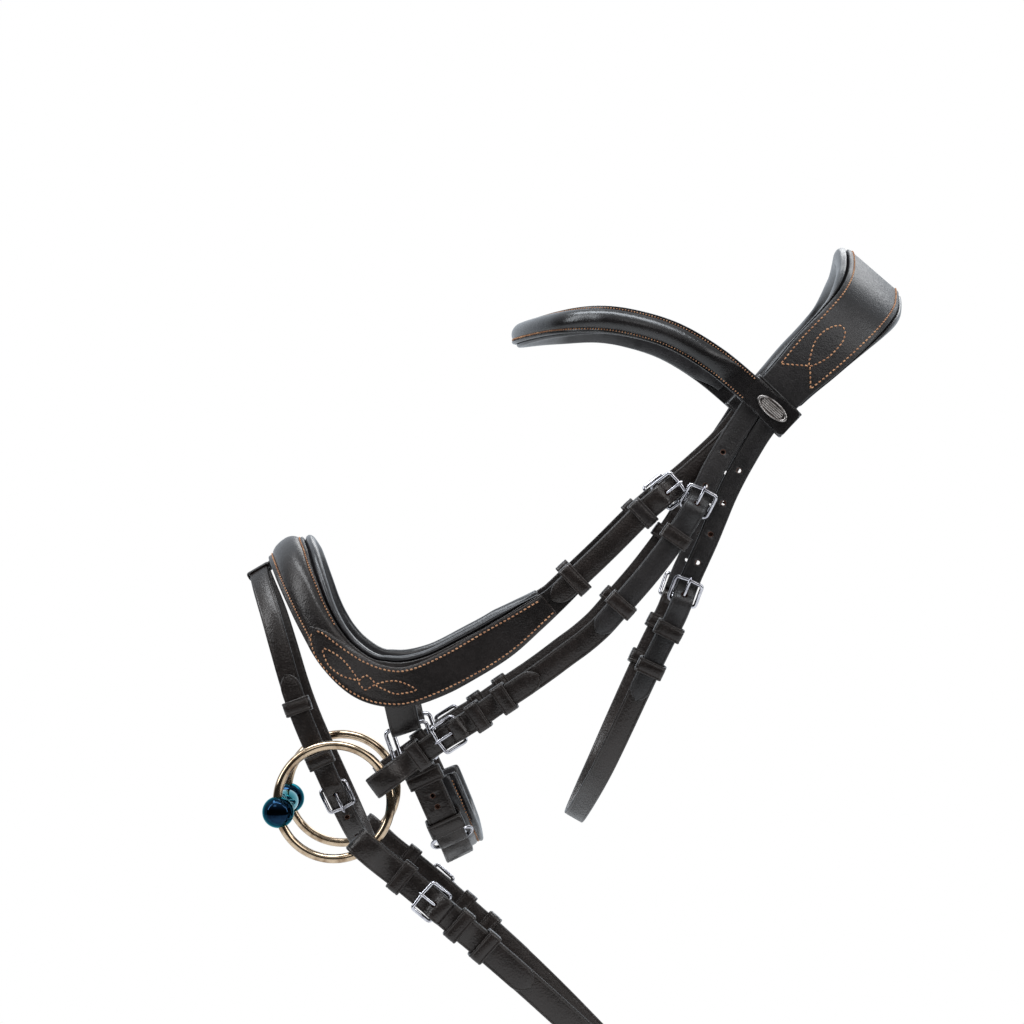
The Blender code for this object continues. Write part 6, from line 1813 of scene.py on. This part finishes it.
CAP_RINGS, CAP_STRETCH = ((0.86, 0.55), (0.55, 0.9), (0.2, 1.0)), 1.5


def pad_piece(name, node, line, start_pixels, section, step, count, cap, pinned, body=ROOT):
    """A soft pad: a closed skin that air pressure swells between the places where it is sewn.

    cap is how far a point may move, and pinned says which shares of the outline are sewn.
    """
    start = line.near(*start_pixels)
    steps = max(4, round((line.length - start) / step))
    near = []
    for k in range(steps + 1):
        s = start + (line.length - start) * k / steps
        near.append([line.at(s, n, w) for w, n in closed_curve(section(s, k / steps), count)])
    rings = over_middle(near)
    ends = []
    for ring, inner in ((rings[0], rings[1]), (rings[-1], rings[-2])):
        beyond, centre = (ring[0] - inner[0]).normalized() * cap * CAP_STRETCH, sum(ring, Vector()) / count
        for size, bulge in CAP_RINGS:
            ends.append([centre + (p - centre) * size + beyond * bulge for p in ring])
    rings = ends[2::-1] + rings + ends[3:]
    mesh = Shell().add(rings).mesh(name, "padding")
    mesh.shade_smooth()
    made = linked(name, mesh)
    held = [k for k in range(len(mesh.vertices)) if pinned((k % count) / count)]
    swell(made, held, cap)
    smooth = made.modifiers.new("Smooth", "SUBSURF")
    smooth.levels = smooth.render_levels = 1
    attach(made, body)
    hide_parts(node)
    return made


AIR_PRESSURE, SWELL_FRAMES = 4, 20


def swell(piece, held, cap):
    """Blows the skin up with Blender's cloth and keeps each point within cap of where it was."""
    scene = bpy.context.scene
    sewn = piece.vertex_groups.new(name="sewn")
    sewn.add(held, 1.0, "REPLACE")
    cloth = piece.modifiers.new("Cloth", "CLOTH")
    settings = cloth.settings
    settings.use_pressure = True
    settings.uniform_pressure_force = AIR_PRESSURE
    settings.effector_weights.gravity = 0
    settings.vertex_group_mass = "sewn"
    cloth.point_cache.frame_start, cloth.point_cache.frame_end = 1, SWELL_FRAMES
    rest = [v.co.copy() for v in piece.data.vertices]
    for number in range(1, SWELL_FRAMES + 1):
        scene.frame_set(number)
    graph = bpy.context.evaluated_depsgraph_get()
    moved = [v.co.copy() for v in piece.evaluated_get(graph).data.vertices]
    piece.modifiers.remove(cloth)
    for vertex, was, now in zip(piece.data.vertices, rest, moved):
        shift = now - was
        if shift.length > cap:
            shift = shift * (cap / shift.length)
        vertex.co = was + shift
    piece.vertex_groups.clear()
    scene.frame_set(1)


def crown_pad_section(s, share):
    """The crown pad's outline: a roll along each edge, a channel for the hanger, a flat underside."""
    half, top = crown_half(s), -(LEATHER / 2 + ROOM)
    over = CROWN_PAD_OVERHANG * (PAD_TAPER_SHARE + (1 - PAD_TAPER_SHARE) * eased((share - 0.22) / 0.45))
    wide = half + over
    low = top - CROWN_PAD * (0.62 + 0.38 * eased(share * 9))
    shift, room = -HANGER_SHIFT_SHARE * 2 * half, HANGER_WIDTH / 2 + 2.5 * GAP
    channel = -(LAYER + LEATHER / 2 + 2.5 * ROOM)
    side = [(-wide, top * 2.4), (-half - 0.78 * over, top * 0.75)]
    side += [(-half - 0.40 * over, top * (1 - over / 0.005))]
    side += [(-half - 0.14 * over, top * 0.95), (-half + 0.0012, top * 1.08)]
    middle = [(shift - room - 0.0016, top), (shift - room, channel), (shift, channel)]
    middle += [(shift + room, channel), (shift + room + 0.0016, top), (half * 0.62, top)]
    far = [(-w, n) for w, n in reversed(side)]
    under = [(wide * 0.93, low * 0.80), (wide * 0.66, low), (0.0, low)]
    return side + middle + far + under + [(-w, n) for w, n in under[1::-1]]


def nose_pad_section(s, share):
    """The noseband pad's outline: a flat back behind the leather and a full roll along the upper edge."""
    half, roll = nose_upper(s), nose_roll(s)
    top, rim = -(LEATHER / 2 + ROOM), nose_rim(s) * (0.25 + 0.75 * eased(share * 7))
    low = top - NOSE_PAD
    foot, arch = -half * NOSE_PAD_FOOT_SHARE, top + ARCH_RISE_SHARE * roll
    outline = [(foot, arch), (half * ARCH_CREST_SHARE, arch), (half * ARCH_FOOT_SHARE, top)]
    outline += [(half * 0.93, top * 1.02), (half + 0.08 * rim, top * 0.8), (half + 0.32 * rim, 0.0)]
    outline += [(half + 0.72 * rim, 0.05 * top), (half + 0.98 * rim, 0.38 * low)]
    outline += [(half + 0.80 * rim, 0.80 * low), (half * 0.85, low), (half * 0.3, low)]
    return outline + [(foot, low * 0.95), (foot - 0.001, low * 0.6)]


def brow_pad_section(s, share):
    """The browband pad's outline: it fills the roll and ends round under the leather."""
    half, roll = BROWBAND_WIDTH / 2 * (0.55 + 0.45 * eased(share * 9)), brow_roll(s)
    top = -(LEATHER / 2 + ROOM)
    low = top - BROW_PAD * (0.4 + 0.6 * eased(share * 9))
    foot, arch = half * ARCH_FOOT_SHARE, top + ARCH_RISE_SHARE * roll
    side = [(half * ARCH_CREST_SHARE, arch), (foot, top), (half * 0.85, top), (half * 0.98, (top + low) / 2)]
    outline = [(-w, n) for w, n in reversed(side)] + side
    return outline + [(half * 0.8, low), (0.0, low * 1.04), (-half * 0.8, low)]


def chin_pad_section(_, share):
    """The chin pad's outline, drawn in at both seams beside its strap."""
    half, top = CHIN_PAD_WIDTH / 2, chin_pad_top()
    thick = CHIN_PAD * (0.6 + 0.4 * eased(share * 6))
    low, seam = top - thick, top - CHIN_PAD * 0.14
    side = [(half * 0.52, top), (half * 0.66, seam), (half * 0.80, top), (half * 0.93, top - 0.0008)]
    side += [(half, (top + low) / 2)]
    under = [(half * 0.86, low * 0.99), (half * 0.4, low)]
    outline = [(-w, n) for w, n in reversed(side)] + [(0.0, top)] + side + under
    outline += [(-w, n) for w, n in reversed(under)]
    return [(w - CHIN_PAD_SHIFT, n) for w, n in outline]


def make_pads():
    """The four paddings, each with its ring spacing, ring count, cap and sewn shares of its outline."""
    pad_piece(
        "crown_padding", "crown_pad", CROWN, CROWN_PAD_END_PIXELS, crown_pad_section,
        0.0032, 44, 0.0007, lambda share: 0.06 < share < 0.70,
    )
    pad_piece(
        "noseband_padding", "noseband_pad", NOSE, NOSE_PAD_END_PIXELS, nose_pad_section,
        0.0030, 28, 0.0006, lambda share: share < 0.32 or share > 0.92,
    )
    pad_piece(
        "browband_padding", "browband_pad", BROW, BROW_ROLL_START_PIXELS, brow_pad_section,
        0.0032, 22, 0.0004, lambda share: 0.1 < share < 0.62,
    )
    return pad_piece(
        "chin_padding", "chin_pad", CHIN, CHIN_PAD_START_PIXELS, chin_pad_section,
        0.0028, 30, 0.0006, lambda share: 0.17 < share < 0.53,
    )


make_camera()
make_light()
make_floor()
make_finishes()
CHIN_PADDING = make_pads()
CROWN_LEATHER = make_crown_leather()
make_hanger()
make_cheek_straps()
make_throat_leather()
NOSE_LEATHER = make_noseband_leather()
make_dees()
BROW_LEATHER = make_brow_leather()
make_badges()
make_flash_leather()
make_rein_leather()
make_bit()
make_chin_strap()
make_chin_pad_strap(*make_roller())
make_crown_stitching(CROWN_LEATHER)
make_brow_stitching(BROW_LEATHER)
make_nose_stitching(NOSE_LEATHER)
make_chin_stitching(CHIN_PADDING)
